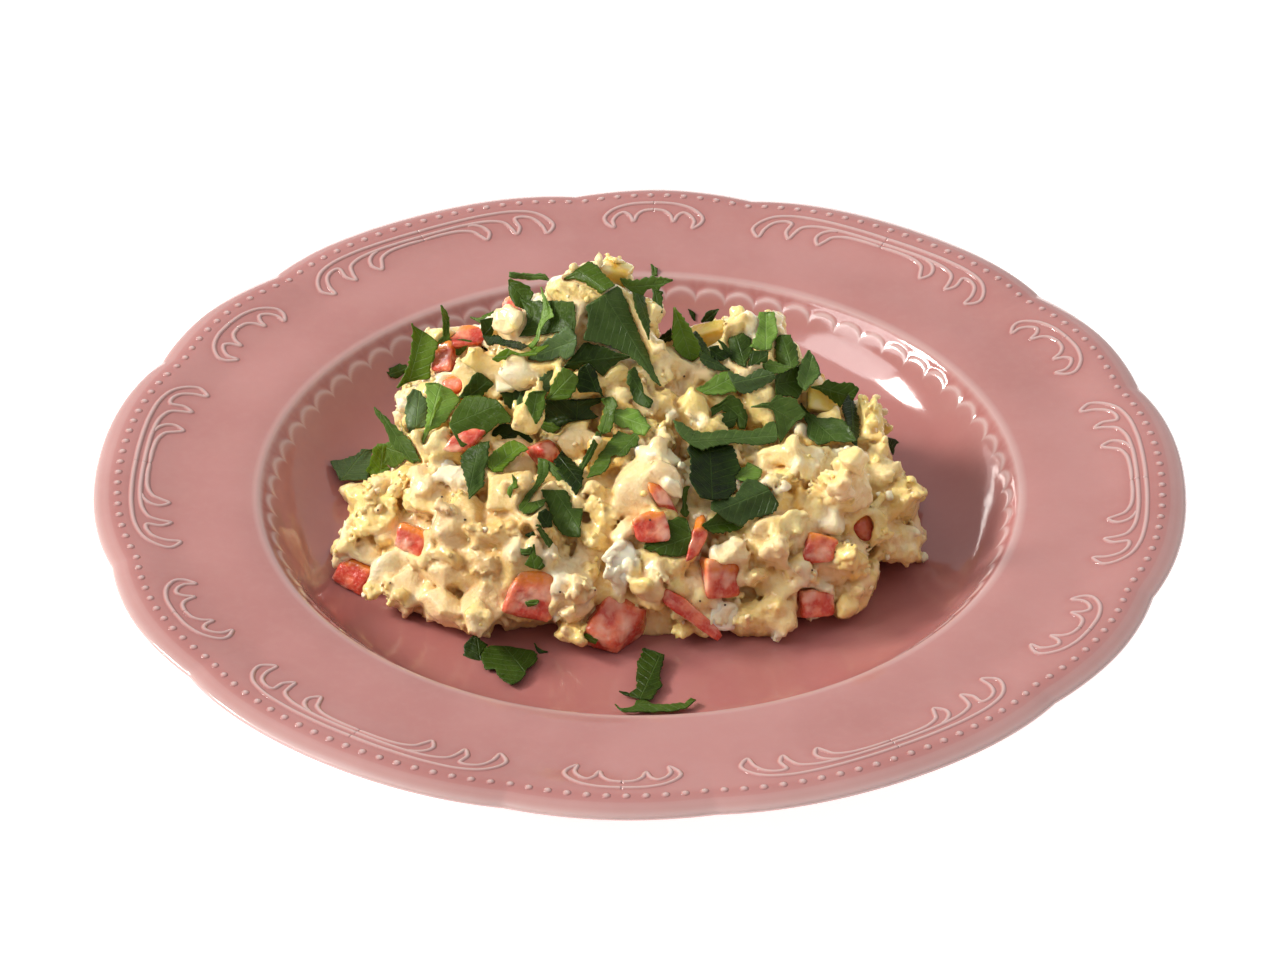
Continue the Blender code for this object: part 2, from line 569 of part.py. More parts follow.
def placed_piece(piece, rng, drop, scale):
    """The hull of a piece turned with the surface it lies on and kept off the plate."""
    kind, x, y, lift, size_x, size_y, size_z, turn, tilt = piece
    normal = surface_normal(x, y) + np.array((0.0, 0.0, 0.8))
    normal /= np.linalg.norm(normal)
    turned = Vector((0, 0, 1)).rotation_difference(Vector(normal)).to_matrix()
    turned = turned @ Matrix.Rotation(math.radians(turn), 3, "Z") @ Matrix.Rotation(math.radians(tilt), 3, "Y")
    base = np.array((x, y, float(surface(x, y)) + lift)) - normal * drop
    points = []
    for px, py, pz in piece_points(kind, rng):
        local = Vector((px * size_x * scale, py * size_y * scale, pz * size_z * scale))
        place = base + np.array(turned @ local)
        place[2] = max(place[2], float(plate_height(place[0], place[1])) + GAP + 0.05)
        points.append(place)
    return hull(points)


def fill_pieces(rng):
    """More pieces between the larger ones, at random over the bare heap."""
    taken = [(p[1], p[2], float(surface(p[1], p[2]))) for p in PIECES]
    made = []
    for _ in range(4000):
        if len(made) == FILL_COUNT:
            break
        bearing = rng.uniform(0, 2 * math.pi)
        reach = rng.uniform(0, 1.0) ** 0.4 * foot_reach(bearing)
        x = HEAP_MIDDLE[0] + reach * math.cos(bearing)
        y = HEAP_MIDDLE[1] + reach * math.sin(bearing)
        z = float(surface(x, y))
        if min(math.dist((x, y, z), place) for place in taken) < FILL_SPACING:
            continue
        taken.append((x, y, z))
        kind = rng.choice(("lump", "lump", "slab", "dice", "shred"))
        sizes = [rng.uniform(*FILL_SIZES) * s for s in (1.0, 0.85, 0.75)]
        low = z - FLOOR_HEIGHT
        lift = rng.uniform(-0.5, 0.8) + max(0.0, 0.4 * sizes[2] - low)
        made.append((kind, x, y, lift, *sizes, rng.uniform(0, 180), rng.uniform(-20, 20)))
    return made


def clear_of_leaves(points, faces, guards):
    """Whether a piece keeps off every leaf and off the side from which its face shows."""
    trial = tree_of(points, faces)
    return not any(trial.overlap(guard) for guard in guards)


def join_pieces(core, settled):
    """Fuse the pieces of salad to the bare heap by one union."""
    rng = random.Random(SEED)
    faces = leaf_faces()
    guards = []
    for _, thick in settled:
        guards.append(tree_of(thick, faces))
        guards.append(tree_of(thick + 2.5 * VIEW_SIDE, faces))
        guards.append(tree_of(thick + 5.5 * VIEW_SIDE, faces))
    group = bpy.data.collections.new("salad_pieces")
    bpy.context.scene.collection.children.link(group)
    for number, piece in enumerate(PIECES + fill_pieces(rng), 1):
        state = rng.getstate()
        for drop, scale in ((0.0, 1.0), (1.0, 1.0), (2.0, 0.95), (3.0, 0.9), (3.5, 0.8), (3.5, 0.65)):
            rng.setstate(state)
            points, sides = placed_piece(piece, rng, drop, scale)
            if clear_of_leaves(points, sides, guards):
                made = add_object(f"piece_{number:03d}", points, sides, "salad_heap", False)
                bpy.context.scene.collection.objects.unlink(made)
                group.objects.link(made)
                face_outward(made)
                break
    union = core.modifiers.new("union", "BOOLEAN")
    union.operation = "UNION"
    union.operand_type = "COLLECTION"
    union.collection = group
    union.solver = "MANIFOLD"
    graph = bpy.context.evaluated_depsgraph_get()
    joined = bpy.data.meshes.new_from_object(core.evaluated_get(graph))
    core.modifiers.clear()
    core.data = joined
    for thing in list(group.objects):
        bpy.data.objects.remove(thing, do_unlink=True)
    bpy.data.collections.remove(group)


def islands(work):
    """The separate shells of a mesh, as lists of faces."""
    left = set(work.faces)
    found = []
    while left:
        stack = [left.pop()]
        shell = [stack[0]]
        while stack:
            face = stack.pop()
            for edge in face.edges:
                for other in edge.link_faces:
                    if other in left:
                        left.remove(other)
                        stack.append(other)
                        shell.append(other)
        found.append(shell)
    return found


def tidy_heap(core):
    """Close sealed hollows, drop loose scraps and clean the joined mesh."""
    work = bmesh.new()
    work.from_mesh(core.data)
    bmesh.ops.remove_doubles(work, verts=work.verts, dist=0.12 * MM)
    bmesh.ops.dissolve_degenerate(work, edges=work.edges, dist=0.02 * MM)
    bmesh.ops.dissolve_limit(work, angle_limit=math.radians(2.0), verts=work.verts, edges=work.edges)
    bmesh.ops.triangulate(work, faces=work.faces)
    shells = sorted(islands(work), key=len)
    for shell in shells[:-1]:
        bmesh.ops.delete(work, geom=shell, context="FACES")
    loose = [v for v in work.verts if not v.link_faces]
    bmesh.ops.delete(work, geom=loose, context="VERTS")
    work.to_mesh(core.data)
    work.free()


def main():
    clear_scene()
    plate = build_plate()
    core = build_core()
    settled = settle_leaves(core, plate)
    join_pieces(core, settled)
    tidy_heap(core)


main()
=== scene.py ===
"""The dressed model: a chicken and cheese salad heaped on a glazed dinner plate, with chopped parsley.

Sizes are in millimetres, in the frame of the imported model: the plate stands on z = 0 and the front is -Y.
"""

import json
import math

import bmesh
import bpy
import numpy as np
from mathutils import Matrix, Vector
from mathutils.bvhtree import BVHTree

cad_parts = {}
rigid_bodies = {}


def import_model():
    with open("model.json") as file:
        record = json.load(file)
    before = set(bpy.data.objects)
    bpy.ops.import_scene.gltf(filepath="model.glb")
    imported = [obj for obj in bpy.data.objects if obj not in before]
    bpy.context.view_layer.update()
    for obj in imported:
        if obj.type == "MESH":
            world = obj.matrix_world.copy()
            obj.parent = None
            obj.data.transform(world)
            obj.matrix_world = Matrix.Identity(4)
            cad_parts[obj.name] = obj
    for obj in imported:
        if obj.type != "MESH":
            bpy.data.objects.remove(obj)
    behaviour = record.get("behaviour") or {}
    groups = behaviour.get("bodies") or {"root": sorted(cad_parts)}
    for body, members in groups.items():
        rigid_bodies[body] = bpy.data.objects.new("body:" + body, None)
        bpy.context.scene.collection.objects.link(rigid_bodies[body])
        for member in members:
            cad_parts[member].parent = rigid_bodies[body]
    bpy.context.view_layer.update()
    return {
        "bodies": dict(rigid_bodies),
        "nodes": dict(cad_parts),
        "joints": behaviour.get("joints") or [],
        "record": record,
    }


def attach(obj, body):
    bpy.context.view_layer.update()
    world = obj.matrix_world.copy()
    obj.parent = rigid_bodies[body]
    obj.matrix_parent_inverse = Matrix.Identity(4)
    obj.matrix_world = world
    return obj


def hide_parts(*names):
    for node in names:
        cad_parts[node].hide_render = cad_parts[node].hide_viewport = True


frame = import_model()

MM = 0.001

# The camera, fitted to the rim, the lip and the feet of the things on the plate.
IMAGE_WIDTH = 1280
IMAGE_HEIGHT = 960
FOCAL_PIXELS = 4649.0
CAMERA_PLACE = (0.1, -947.9, 691.6)
CAMERA_AIM = (0.14, 10.25, 15.0)
CAMERA_ROLL = -0.11
SENSOR_WIDTH = 36.0
TOWARD_VIEW = np.array((0.0, -0.82, 0.57))
VIEW_UNIT = TOWARD_VIEW / np.linalg.norm(TOWARD_VIEW)

# The plate, as in its solid.
PLATE_RADIUS = 135.8
FLOOR_HEIGHT = 6.0
LOBES = 6
LONG_LOBE_MIDDLE = 57.0
LONG_LOBE_HALF = 19.5
LONG_LOBE_DEPTH = 2.1
LONG_LOBE_POWER = 3.5
SHORT_LOBE_HALF = 10.5
SHORT_LOBE_RADIUS = 135.35
SHORT_LOBE_POWER = 1.7
DIP_RADIUS = 133.7
DIP_DROP = 0.8
SCALLOP_START = 104.0
RELIEF_MIDDLE = 58.1
UPPER = [(0, 6.0), (40, 6.0), (72, 6.0), (79, 7.6), (84.5, 10.6), (89, 15.0), (92.5, 19.6), (95.5, 22.0)]
RIM_UPPER = [(116, 23.8), (130, 26.0), (134.2, 25.1)]
EDGE = (135.8, 24.2)
RIM_LOWER = [(134.4, 22.8), (116, 20.1)]
LOWER = [(98, 17.6), (90, 11.0), (82, 5.2), (75, 2.4), (71.5, 0.0), (67.5, 0.0), (64, 2.0), (0, 2.0)]

# The rings of the plate's mesh: how far apart they are, and how many points each has.
WALL_START = 71.0
WALL_END = 99.0
MIDDLE_RINGS = (6.0, 20.0)
MIDDLE_POINTS = 90
PETAL_RINGS = (0.35, 1440)
WALL_RINGS = (1.0, 720)
RELIEF_RINGS = (1.0, 1440)
INNER_FLOOR_RINGS = (4.0, 180)
OUTER_FLOOR_RINGS = (4.0, 360)
EDGE_RINGS = (0.6, 720)
PLAIN_RINGS = (1.5, 720)
UNDERSIDE_RINGS = (1.6, 360)

# The relief of the plate.
PETALS = 72
PETAL_PHASE = 0.5
PETAL_TIP_RADIUS = 92.9
PETAL_HEIGHT = 0.28
PETAL_TALL = 2.7
PETAL_SPAN = (-3.5, 26.0)
LIP_RADIUS = 94.9
LIP_HEIGHT = 0.34
LIP_HALF_WIDTH = 1.1
LIP_GLOW = 0.42
LIP_GLOW_HALF_WIDTH = 0.9
BEADS = 180
BEAD_RADIUS = 129.7
BEAD_SIZE = 0.95
BEAD_HEIGHT = 0.34
BEAD_TURN = 0.6
BEAD_SIDES = 12
BEAD_LEVELS = [(1.25, -0.15), (1.0, 0.18), (0.8, 0.52), (0.5, 0.85), (0.22, 0.98)]
LINE_HALF_WIDTH = 0.72
LINE_HEIGHT = 0.34
LINE_SPACING = 0.45
LINE_SHAPE = [(-1.25, -0.3), (-0.95, 0.08), (-0.6, 0.6), (-0.25, 0.95), (0.25, 0.95), (0.6, 0.6),
              (0.95, 0.08), (1.25, -0.3)]
SCROLL_RADIUS = 121.0
MM_PER_DEGREE = math.radians(1.0) * SCROLL_RADIUS
RELIEF_INNER = 114.0
RELIEF_OUTER = 131.4
RELIEF_PALE = 0.6
POOLED = 0.3

# Colours of the glaze: its clouds, drift and grain, and where it pools or runs thin.
GLAZE_CLOUDS = ((0.390, 0.166, 0.152), (0.435, 0.198, 0.183))
GLAZE_DRIFT = (0.43, 0.222, 0.198)
GLAZE_GRAIN = (0.48, 0.252, 0.232)
GLAZE_POOL = (0.33, 0.085, 0.075)
GLAZE_THIN = (0.64, 0.53, 0.505)

# The light of the room, from all sides.
ROOM_LEAN = (0.20, 0.16, 0.36)
ROOM_LEVEL = 0.29

# The lamps, in metres: name, place, size, power and colour. They all look at one spot.
LAMPS = (
    ("key", (-3.26, 0.60, 2.24), (0.82, 0.82), 148.0, (1.0, 0.975, 0.92)),
    ("side", (-3.2, -0.72, 2.4), (1.7, 1.6), 58.0, (1.0, 1.0, 1.0)),
    ("high", (-2.5, -0.3, 3.1), (2.8, 2.8), 30.0, (1.0, 1.0, 1.0)),
)
LAMP_AIM = (0.0, 0.0, 0.01)

# The floor, in millimetres, and its two near-white shades.
FLOOR_HALF = 4000.0
FLOOR_SHADES = ((0.96, 0.96, 0.96), (0.94, 0.94, 0.94))
FLOOR_GLOW = 0.75

# Half of each scroll, as degrees from its middle and nominal radius. The other half is its mirror image.
LONG_SCROLL = [
    [(0, 125.9), (-5, 126.1), (-9, 126.3), (-12.5, 126.1), (-14.8, 124.9), (-16.3, 122.3), (-16.9, 119.6),
     (-16.6, 117.8), (-15.8, 116.2), (-15.4, 119.7), (-14.5, 122.6), (-13.1, 123.7), (-12.3, 123.2),
     (-12.5, 119.6), (-11.8, 117.2), (-11.4, 119.7), (-10.8, 122.2), (-9.2, 123.6), (-6.0, 124.0),
     (-3.0, 123.9), (0, 123.8)],
    [(-6.2, 123.7), (-7.2, 123.1), (-8.1, 121.5), (-8.4, 119.3), (-7.7, 117.0), (-7.1, 118.8),
     (-6.5, 120.8), (-5.1, 122.1), (-2.7, 122.5), (0, 122.4)],
]
SHORT_SCROLL = [
    [(0, 126.2), (-2.9, 125.8), (-5.0, 124.2), (-6.3, 121.2), (-6.2, 118.9), (-5.2, 116.7), (-5.3, 119.4),
     (-4.7, 121.6), (-3.8, 122.6), (-3.1, 121.4), (-2.6, 118.9), (-2.1, 121.4), (-1.35, 122.9), (0, 123.5)],
]

# The bare heap, as in its solid: rounded lumps as middle x and y, half widths and height.
LUMPS = [
    (-1, 6, 62, 47, 34),
    (-13, 20, 30, 27, 63),
    (3, 8, 30, 30, 43),
    (28, 18, 29, 25, 48),
    (51, 2, 18, 24, 31),
    (-38, 4, 25, 25, 39),
    (-42, 25, 21, 20, 42),
    (-54, -13, 19, 17, 22),
    (-28, -19, 32, 25, 31),
    (4, -21, 34, 24, 33),
    (34, -17, 25, 24, 29),
]
BLEND = 0.3

# The outline of the salad in the photograph, as columns and rows.
HEAP_OUTLINE = [
    (333, 551), (337, 560), (347, 561), (343, 574), (333, 586), (345, 598), (358, 605), (372, 600),
    (385, 592), (394, 603), (408, 614), (414, 606), (424, 603), (426, 620), (448, 623), (466, 630),
    (488, 636), (493, 620), (500, 617), (506, 624), (530, 624), (557, 621), (560, 630), (551, 634),
    (562, 641), (576, 645), (590, 650), (598, 662), (608, 669), (620, 660), (634, 646), (655, 641),
    (667, 640), (671, 628), (672, 616), (680, 631), (708, 635), (714, 630), (736, 631), (742, 637),
    (757, 643), (780, 641), (788, 630), (796, 627), (794, 607), (802, 606), (808, 619), (828, 613),
    (838, 619), (849, 621), (869, 606), (873, 590), (881, 572), (875, 557), (892, 561), (921, 559),
    (916, 550), (922, 536), (916, 518), (919, 500), (919, 484), (909, 484), (898, 463), (891, 462),
    (893, 453), (885, 440), (880, 413), (868, 404), (860, 400), (846, 392), (832, 388), (821, 374),
    (806, 366), (795, 344), (783, 334), (784, 318), (775, 310), (757, 319), (744, 307), (731, 303),
    (719, 315), (703, 322), (688, 328), (672, 337), (655, 341), (653, 330), (665, 312), (662, 300),
    (648, 300), (634, 288), (632, 271), (620, 258), (610, 257), (600, 265), (588, 263), (567, 271),
    (548, 284), (546, 296), (530, 298), (512, 296), (503, 313), (494, 313), (478, 326), (450, 329),
    (427, 331), (433, 345), (430, 372), (405, 385), (396, 411), (398, 432), (412, 449), (396, 466),
    (380, 477), (364, 487), (352, 482), (340, 489), (351, 512), (344, 525), (342, 539),
]
PIXELS_PER_MM = 3.97

# The leaves with solids of their own, in order: how light, as painted light and shade for how the lamps fall
# on each leaf; how yellow, partly the leaf's own tint and partly painted light through it, and below zero
# how grey, as a painted sheen; and the outline in the photograph.
LEAF_SHAPES = [
    (0.10, 0.2, [(578, 350), (585, 341), (600, 346), (615, 351), (630, 357), (620, 361), (609, 368),
        (603, 377), (596, 371), (590, 364), (583, 365), (575, 371), (564, 367)]),
    (0.00, 0.0, [(554, 461), (562, 451), (571, 460), (583, 470), (583, 484), (576, 495), (569, 485),
        (558, 473)]),
    (0.35, 0.2, [(618, 430), (628, 438), (635, 433), (640, 437), (637, 446), (632, 447), (627, 455),
        (619, 457), (612, 454), (609, 466), (605, 472), (587, 478), (591, 468), (600, 454),
        (607, 445)]),
    (0.15, 0.7, [(775, 377), (785, 371), (798, 366), (808, 370), (821, 374), (812, 383), (803, 390),
        (798, 398), (776, 394)]),
    (0.00, 0.0, [(688, 450), (692, 440), (705, 447), (722, 445), (733, 446), (737, 458), (741, 467),
        (735, 478), (737, 489), (728, 499), (712, 500), (700, 497), (690, 482), (691, 462)]),
    (0.10, -0.4, [(546, 399), (575, 400), (604, 398), (598, 404), (588, 408), (601, 419), (580, 419),
        (566, 423), (556, 431), (543, 424), (545, 410)]),
    (0.00, 0.0, [(483, 336), (497, 335), (506, 340), (518, 341), (528, 346), (521, 350), (508, 347),
        (496, 344), (488, 346)]),
    (0.20, 0.2, [(521, 300), (546, 301), (574, 301), (576, 318), (574, 335), (560, 331), (545, 334),
        (530, 335), (518, 337), (527, 326), (527, 313), (523, 306)]),
    (0.40, -0.8, [(568, 326), (576, 335), (577, 346), (573, 354), (566, 360), (560, 356), (552, 361),
        (540, 361), (528, 359), (536, 350), (548, 339)]),
    (0.30, -0.3, [(617, 285), (622, 290), (628, 305), (633, 320), (639, 335), (645, 348), (650, 360),
        (655, 373), (661, 386), (653, 380), (645, 370), (636, 361), (625, 354), (610, 346), (597, 342),
        (583, 340), (587, 328), (588, 316), (586, 306), (597, 299), (608, 291)]),
    (0.28, 0.8, [(564, 279), (575, 271), (583, 265), (590, 261), (596, 265), (601, 271), (608, 279),
        (615, 285), (607, 290), (600, 294), (597, 290), (590, 286), (580, 280)]),
    (0.80, 0.0, [(541, 287), (547, 300), (552, 309), (554, 317), (546, 321), (541, 330), (539, 340),
        (532, 349), (527, 347), (536, 337), (539, 325), (542, 314), (543, 302)]),
    (0.45, -0.2, [(509, 272), (519, 273), (545, 274), (549, 280), (535, 280), (509, 278)]),
    (0.22, 0.8, [(509, 279), (520, 281), (530, 288), (534, 294), (528, 302), (524, 309), (517, 306),
        (512, 299), (508, 291)]),
    (0.00, 0.2, [(577, 373), (583, 366), (589, 363), (594, 368), (599, 379), (603, 397), (598, 391),
        (590, 392), (580, 394), (576, 390)]),
    (0.42, 0.5, [(563, 367), (570, 370), (578, 376), (577, 386), (571, 399), (558, 400), (546, 399),
        (553, 382)]),
    (0.18, 0.2, [(477, 371), (485, 376), (494, 384), (487, 391), (482, 397), (470, 399), (459, 397),
        (468, 383)]),
    (0.25, 0.5, [(465, 396), (480, 396), (497, 400), (502, 405), (511, 417), (511, 423), (498, 424),
        (490, 432), (480, 438), (462, 448), (455, 436), (449, 424), (455, 410)]),
    (0.38, 0.5, [(530, 391), (538, 392), (546, 391), (545, 404), (541, 418), (536, 424), (530, 414),
        (525, 403)]),
    (0.38, 0.4, [(600, 398), (612, 397), (618, 404), (615, 415), (611, 432), (602, 434), (597, 430),
        (602, 418), (606, 406)]),
    (0.45, -1.0, [(413, 389), (420, 391), (424, 397), (428, 402), (428, 412), (427, 424), (422, 427),
        (414, 427), (409, 432), (406, 420), (405, 408), (407, 396)]),
    (0.95, 0.0, [(425, 383), (437, 383), (450, 389), (455, 394), (460, 400), (453, 410), (446, 421),
        (436, 428), (430, 430), (426, 437), (423, 443), (426, 425), (428, 410), (426, 396)]),
    (0.50, 0.9, [(412, 323), (413, 327), (425, 332), (438, 342), (436, 350), (432, 363), (429, 379),
        (418, 380), (408, 382), (397, 388), (404, 377), (408, 364), (412, 348), (412, 338)]),
    (0.42, 0.2, [(441, 305), (446, 310), (449, 318), (449, 330), (452, 342), (456, 342), (463, 339),
        (473, 341), (466, 348), (460, 355), (450, 355), (443, 348), (437, 341), (443, 338),
        (443, 325)]),
    (0.08, 0.4, [(480, 319), (491, 318), (498, 319), (496, 326), (493, 335), (484, 337), (481, 330)]),
    (0.35, -0.1, [(374, 407), (384, 415), (393, 424), (402, 432), (411, 442), (415, 450), (421, 462),
        (413, 461), (404, 455), (395, 449), (389, 438), (387, 431), (382, 422), (376, 414)]),
    (0.42, 0.1, [(388, 441), (393, 440), (400, 447), (410, 452), (419, 461), (412, 463), (405, 459),
        (400, 464), (394, 468), (384, 464), (386, 455)]),
    (0.45, 1.0, [(378, 443), (380, 448), (388, 442), (388, 452), (385, 463), (391, 469), (382, 474),
        (377, 480), (369, 479), (366, 470), (371, 462), (373, 450)]),
    (0.30, -0.8, [(330, 462), (345, 459), (359, 453), (362, 449), (373, 450), (370, 465), (368, 480),
        (340, 480), (335, 470)]),
    (0.15, 0.0, [(468, 449), (480, 443), (489, 441), (489, 458), (484, 470), (484, 485), (476, 492),
        (469, 499), (466, 482), (462, 468), (461, 456)]),
    (0.58, 0.8, [(487, 461), (495, 450), (505, 444), (514, 440), (523, 444), (529, 448), (518, 455),
        (508, 464), (502, 472), (494, 472), (487, 467)]),
    (0.30, 0.1, [(538, 458), (548, 460), (549, 472), (543, 482), (534, 493), (528, 503), (537, 500),
        (546, 498), (545, 505), (532, 513), (524, 515), (518, 508), (523, 499), (532, 488),
        (538, 476)]),
    (0.25, 0.0, [(541, 490), (553, 490), (566, 490), (570, 498), (572, 508), (584, 508), (581, 522),
        (580, 537), (566, 537), (558, 530), (553, 520), (548, 507)]),
    (0.20, 0.3, [(632, 292), (644, 296), (647, 308), (650, 322), (649, 340), (643, 326), (636, 310)]),
    (0.48, 0.0, [(620, 278), (632, 280), (642, 279), (652, 276), (660, 277), (673, 280), (664, 285),
        (656, 292), (652, 289), (646, 290), (643, 297), (637, 298), (632, 292), (627, 288),
        (622, 283)]),
    (0.15, 0.1, [(628, 372), (635, 367), (638, 372), (641, 382), (645, 394), (653, 401), (650, 408),
        (643, 406), (635, 403), (630, 392), (627, 381)]),
    (0.15, 0.3, [(696, 331), (702, 338), (708, 348), (714, 357), (709, 359), (701, 350), (696, 343),
        (692, 334)]),
    (0.75, 0.6, [(674, 307), (678, 311), (685, 319), (691, 328), (697, 340), (701, 351), (699, 357),
        (693, 361), (686, 359), (680, 355), (675, 350), (672, 340), (672, 325)]),
    (0.15, 0.0, [(728, 338), (737, 335), (743, 333), (750, 337), (753, 345), (752, 352), (748, 360),
        (745, 367), (737, 364), (731, 357), (729, 348)]),
    (0.80, 0.0, [(758, 311), (764, 315), (768, 316), (774, 312), (777, 322), (779, 333), (774, 342),
        (770, 350), (758, 350), (750, 347), (756, 335), (759, 325)]),
    (0.35, 0.1, [(776, 339), (780, 335), (784, 341), (790, 335), (795, 343), (797, 350), (799, 364),
        (792, 369), (783, 366), (777, 362), (775, 352)]),
    (0.45, -0.3, [(799, 366), (804, 358), (809, 350), (815, 358), (821, 374), (812, 384), (805, 391),
        (797, 383)]),
    (1.0, 0.0, [(696, 389), (705, 384), (716, 375), (727, 371), (733, 372), (735, 380), (739, 391),
        (728, 393), (715, 395), (705, 394)]),
    (0.32, -0.8, [(728, 372), (735, 374), (745, 377), (752, 373), (762, 368), (773, 372), (776, 378),
        (765, 386), (752, 392), (743, 394), (737, 390), (731, 381)]),
    (0.25, 0.3, [(722, 402), (728, 396), (733, 395), (740, 401), (745, 410), (748, 419), (745, 429),
        (738, 429), (735, 418), (728, 412), (720, 410), (712, 418), (711, 408)]),
    (0.45, -0.2, [(776, 394), (785, 397), (795, 398), (800, 405), (806, 414), (802, 419), (796, 422),
        (788, 431), (781, 443), (778, 440), (777, 425), (775, 414), (770, 408), (762, 408), (751, 407),
        (762, 403), (772, 402)]),
    (0.04, 0.3, [(842, 394), (848, 394), (853, 400), (858, 415), (860, 425), (857, 447), (850, 440),
        (846, 425), (842, 408)]),
    (0.22, -0.1, [(801, 403), (808, 412), (818, 418), (832, 418), (842, 419), (850, 428), (857, 441),
        (845, 442), (832, 441), (820, 445), (812, 440), (807, 434), (808, 425), (803, 415)]),
    (0.18, 0.9, [(811, 387), (822, 384), (828, 379), (838, 383), (850, 382), (859, 389), (855, 395),
        (853, 401), (848, 394), (843, 395), (842, 408), (832, 400), (822, 392)]),
    (0.35, -0.3, [(673, 420), (682, 423), (692, 430), (705, 433), (720, 431), (735, 430), (750, 431),
        (762, 428), (770, 421), (776, 423), (778, 436), (777, 442), (765, 444), (750, 445), (735, 443),
        (722, 445), (708, 448), (703, 451), (694, 446), (684, 439), (676, 430)]),
    (0.70, 0.0, [(728, 474), (740, 470), (745, 467), (748, 461), (756, 466), (762, 470), (761, 478),
        (752, 482), (742, 481), (735, 479)]),
    (0.20, -0.5, [(748, 478), (758, 481), (767, 487), (774, 495), (779, 505), (776, 511), (770, 515),
        (758, 517), (748, 521), (741, 527), (730, 522), (720, 515), (711, 509), (711, 501), (722, 499),
        (735, 496), (740, 487)]),
    (0.92, 0.0, [(615, 410), (622, 410), (630, 408), (638, 411), (645, 419), (651, 427), (645, 436),
        (636, 435), (629, 428), (620, 428), (615, 425), (613, 418)]),
    (0.28, 0.5, [(683, 516), (687, 520), (689, 530), (692, 540), (696, 548), (691, 555), (683, 556),
        (672, 556), (658, 555), (662, 551), (650, 551), (644, 548), (648, 538), (655, 529), (665, 522),
        (675, 518)]),
    (0.25, 0.6, [(699, 527), (707, 521), (713, 517), (719, 511), (726, 518), (735, 523), (744, 526),
        (738, 530), (728, 532), (718, 534), (708, 531)]),
    (0.15, 0.3, [(481, 656), (484, 650), (490, 646), (500, 646), (512, 647), (522, 649), (531, 650),
        (537, 654), (537, 660), (533, 666), (529, 664), (525, 664), (527, 670), (524, 677), (518, 682),
        (511, 685), (503, 681), (497, 675), (494, 667), (491, 669), (487, 670), (483, 665)]),
    (0.10, 0.5, [(643, 648), (652, 650), (664, 655), (662, 665), (660, 680), (662, 686), (656, 692),
        (651, 700), (640, 699), (632, 697), (627, 695), (631, 693), (637, 687), (637, 670), (637, 662),
        (641, 656)]),
    (0.25, 0.2, [(615, 704), (622, 709), (633, 707), (637, 700), (647, 701), (652, 704), (665, 705),
        (678, 703), (684, 704), (691, 698), (696, 700), (690, 705), (686, 708), (675, 711), (660, 712),
        (623, 712), (618, 708)]),
]
HEAP_LEAVES = 55
LEAST_FACING = 0.5
SHEET_THICKNESS = 0.32
LEAF_SPACING = 0.55
LEAF_CLEARANCE = 0.25
LEAF_ROOM = 11.0
SHOWN_ROOM = 8.0
CALM_ON_PLATE = 0.4
RIB_FOLDS = (-0.22, 0.2, 0.45)
TWIST = (-0.3, 0.3)
BOW = (-0.02, 0.10)
CUP = (-0.04, 0.18)
RIPPLE = (0.15, 0.42)
BRANCH_PITCH = 2.3

# Colours of the leaves, from painted shade to painted light: shaded and lit greens in two random tones each;
# yellow, partly painted light through the leaf; grey, a painted sheen; veins; and the underside.
LEAF_SHADED = ((0.004, 0.010, 0.001), (0.015, 0.032, 0.002))
LEAF_LIT = ((0.120, 0.225, 0.028), (0.205, 0.335, 0.060))
LEAF_YELLOW_LIT_THROUGH = ((0.010, 0.019, 0.0005), (0.155, 0.265, 0.005))
LEAF_GREY_SHEEN = ((0.014, 0.022, 0.010), (0.180, 0.270, 0.120))
LEAF_VEIN = ((0.040, 0.075, 0.012), (0.280, 0.410, 0.130))
LEAF_UNDERSIDE = (0.055, 0.095, 0.025)

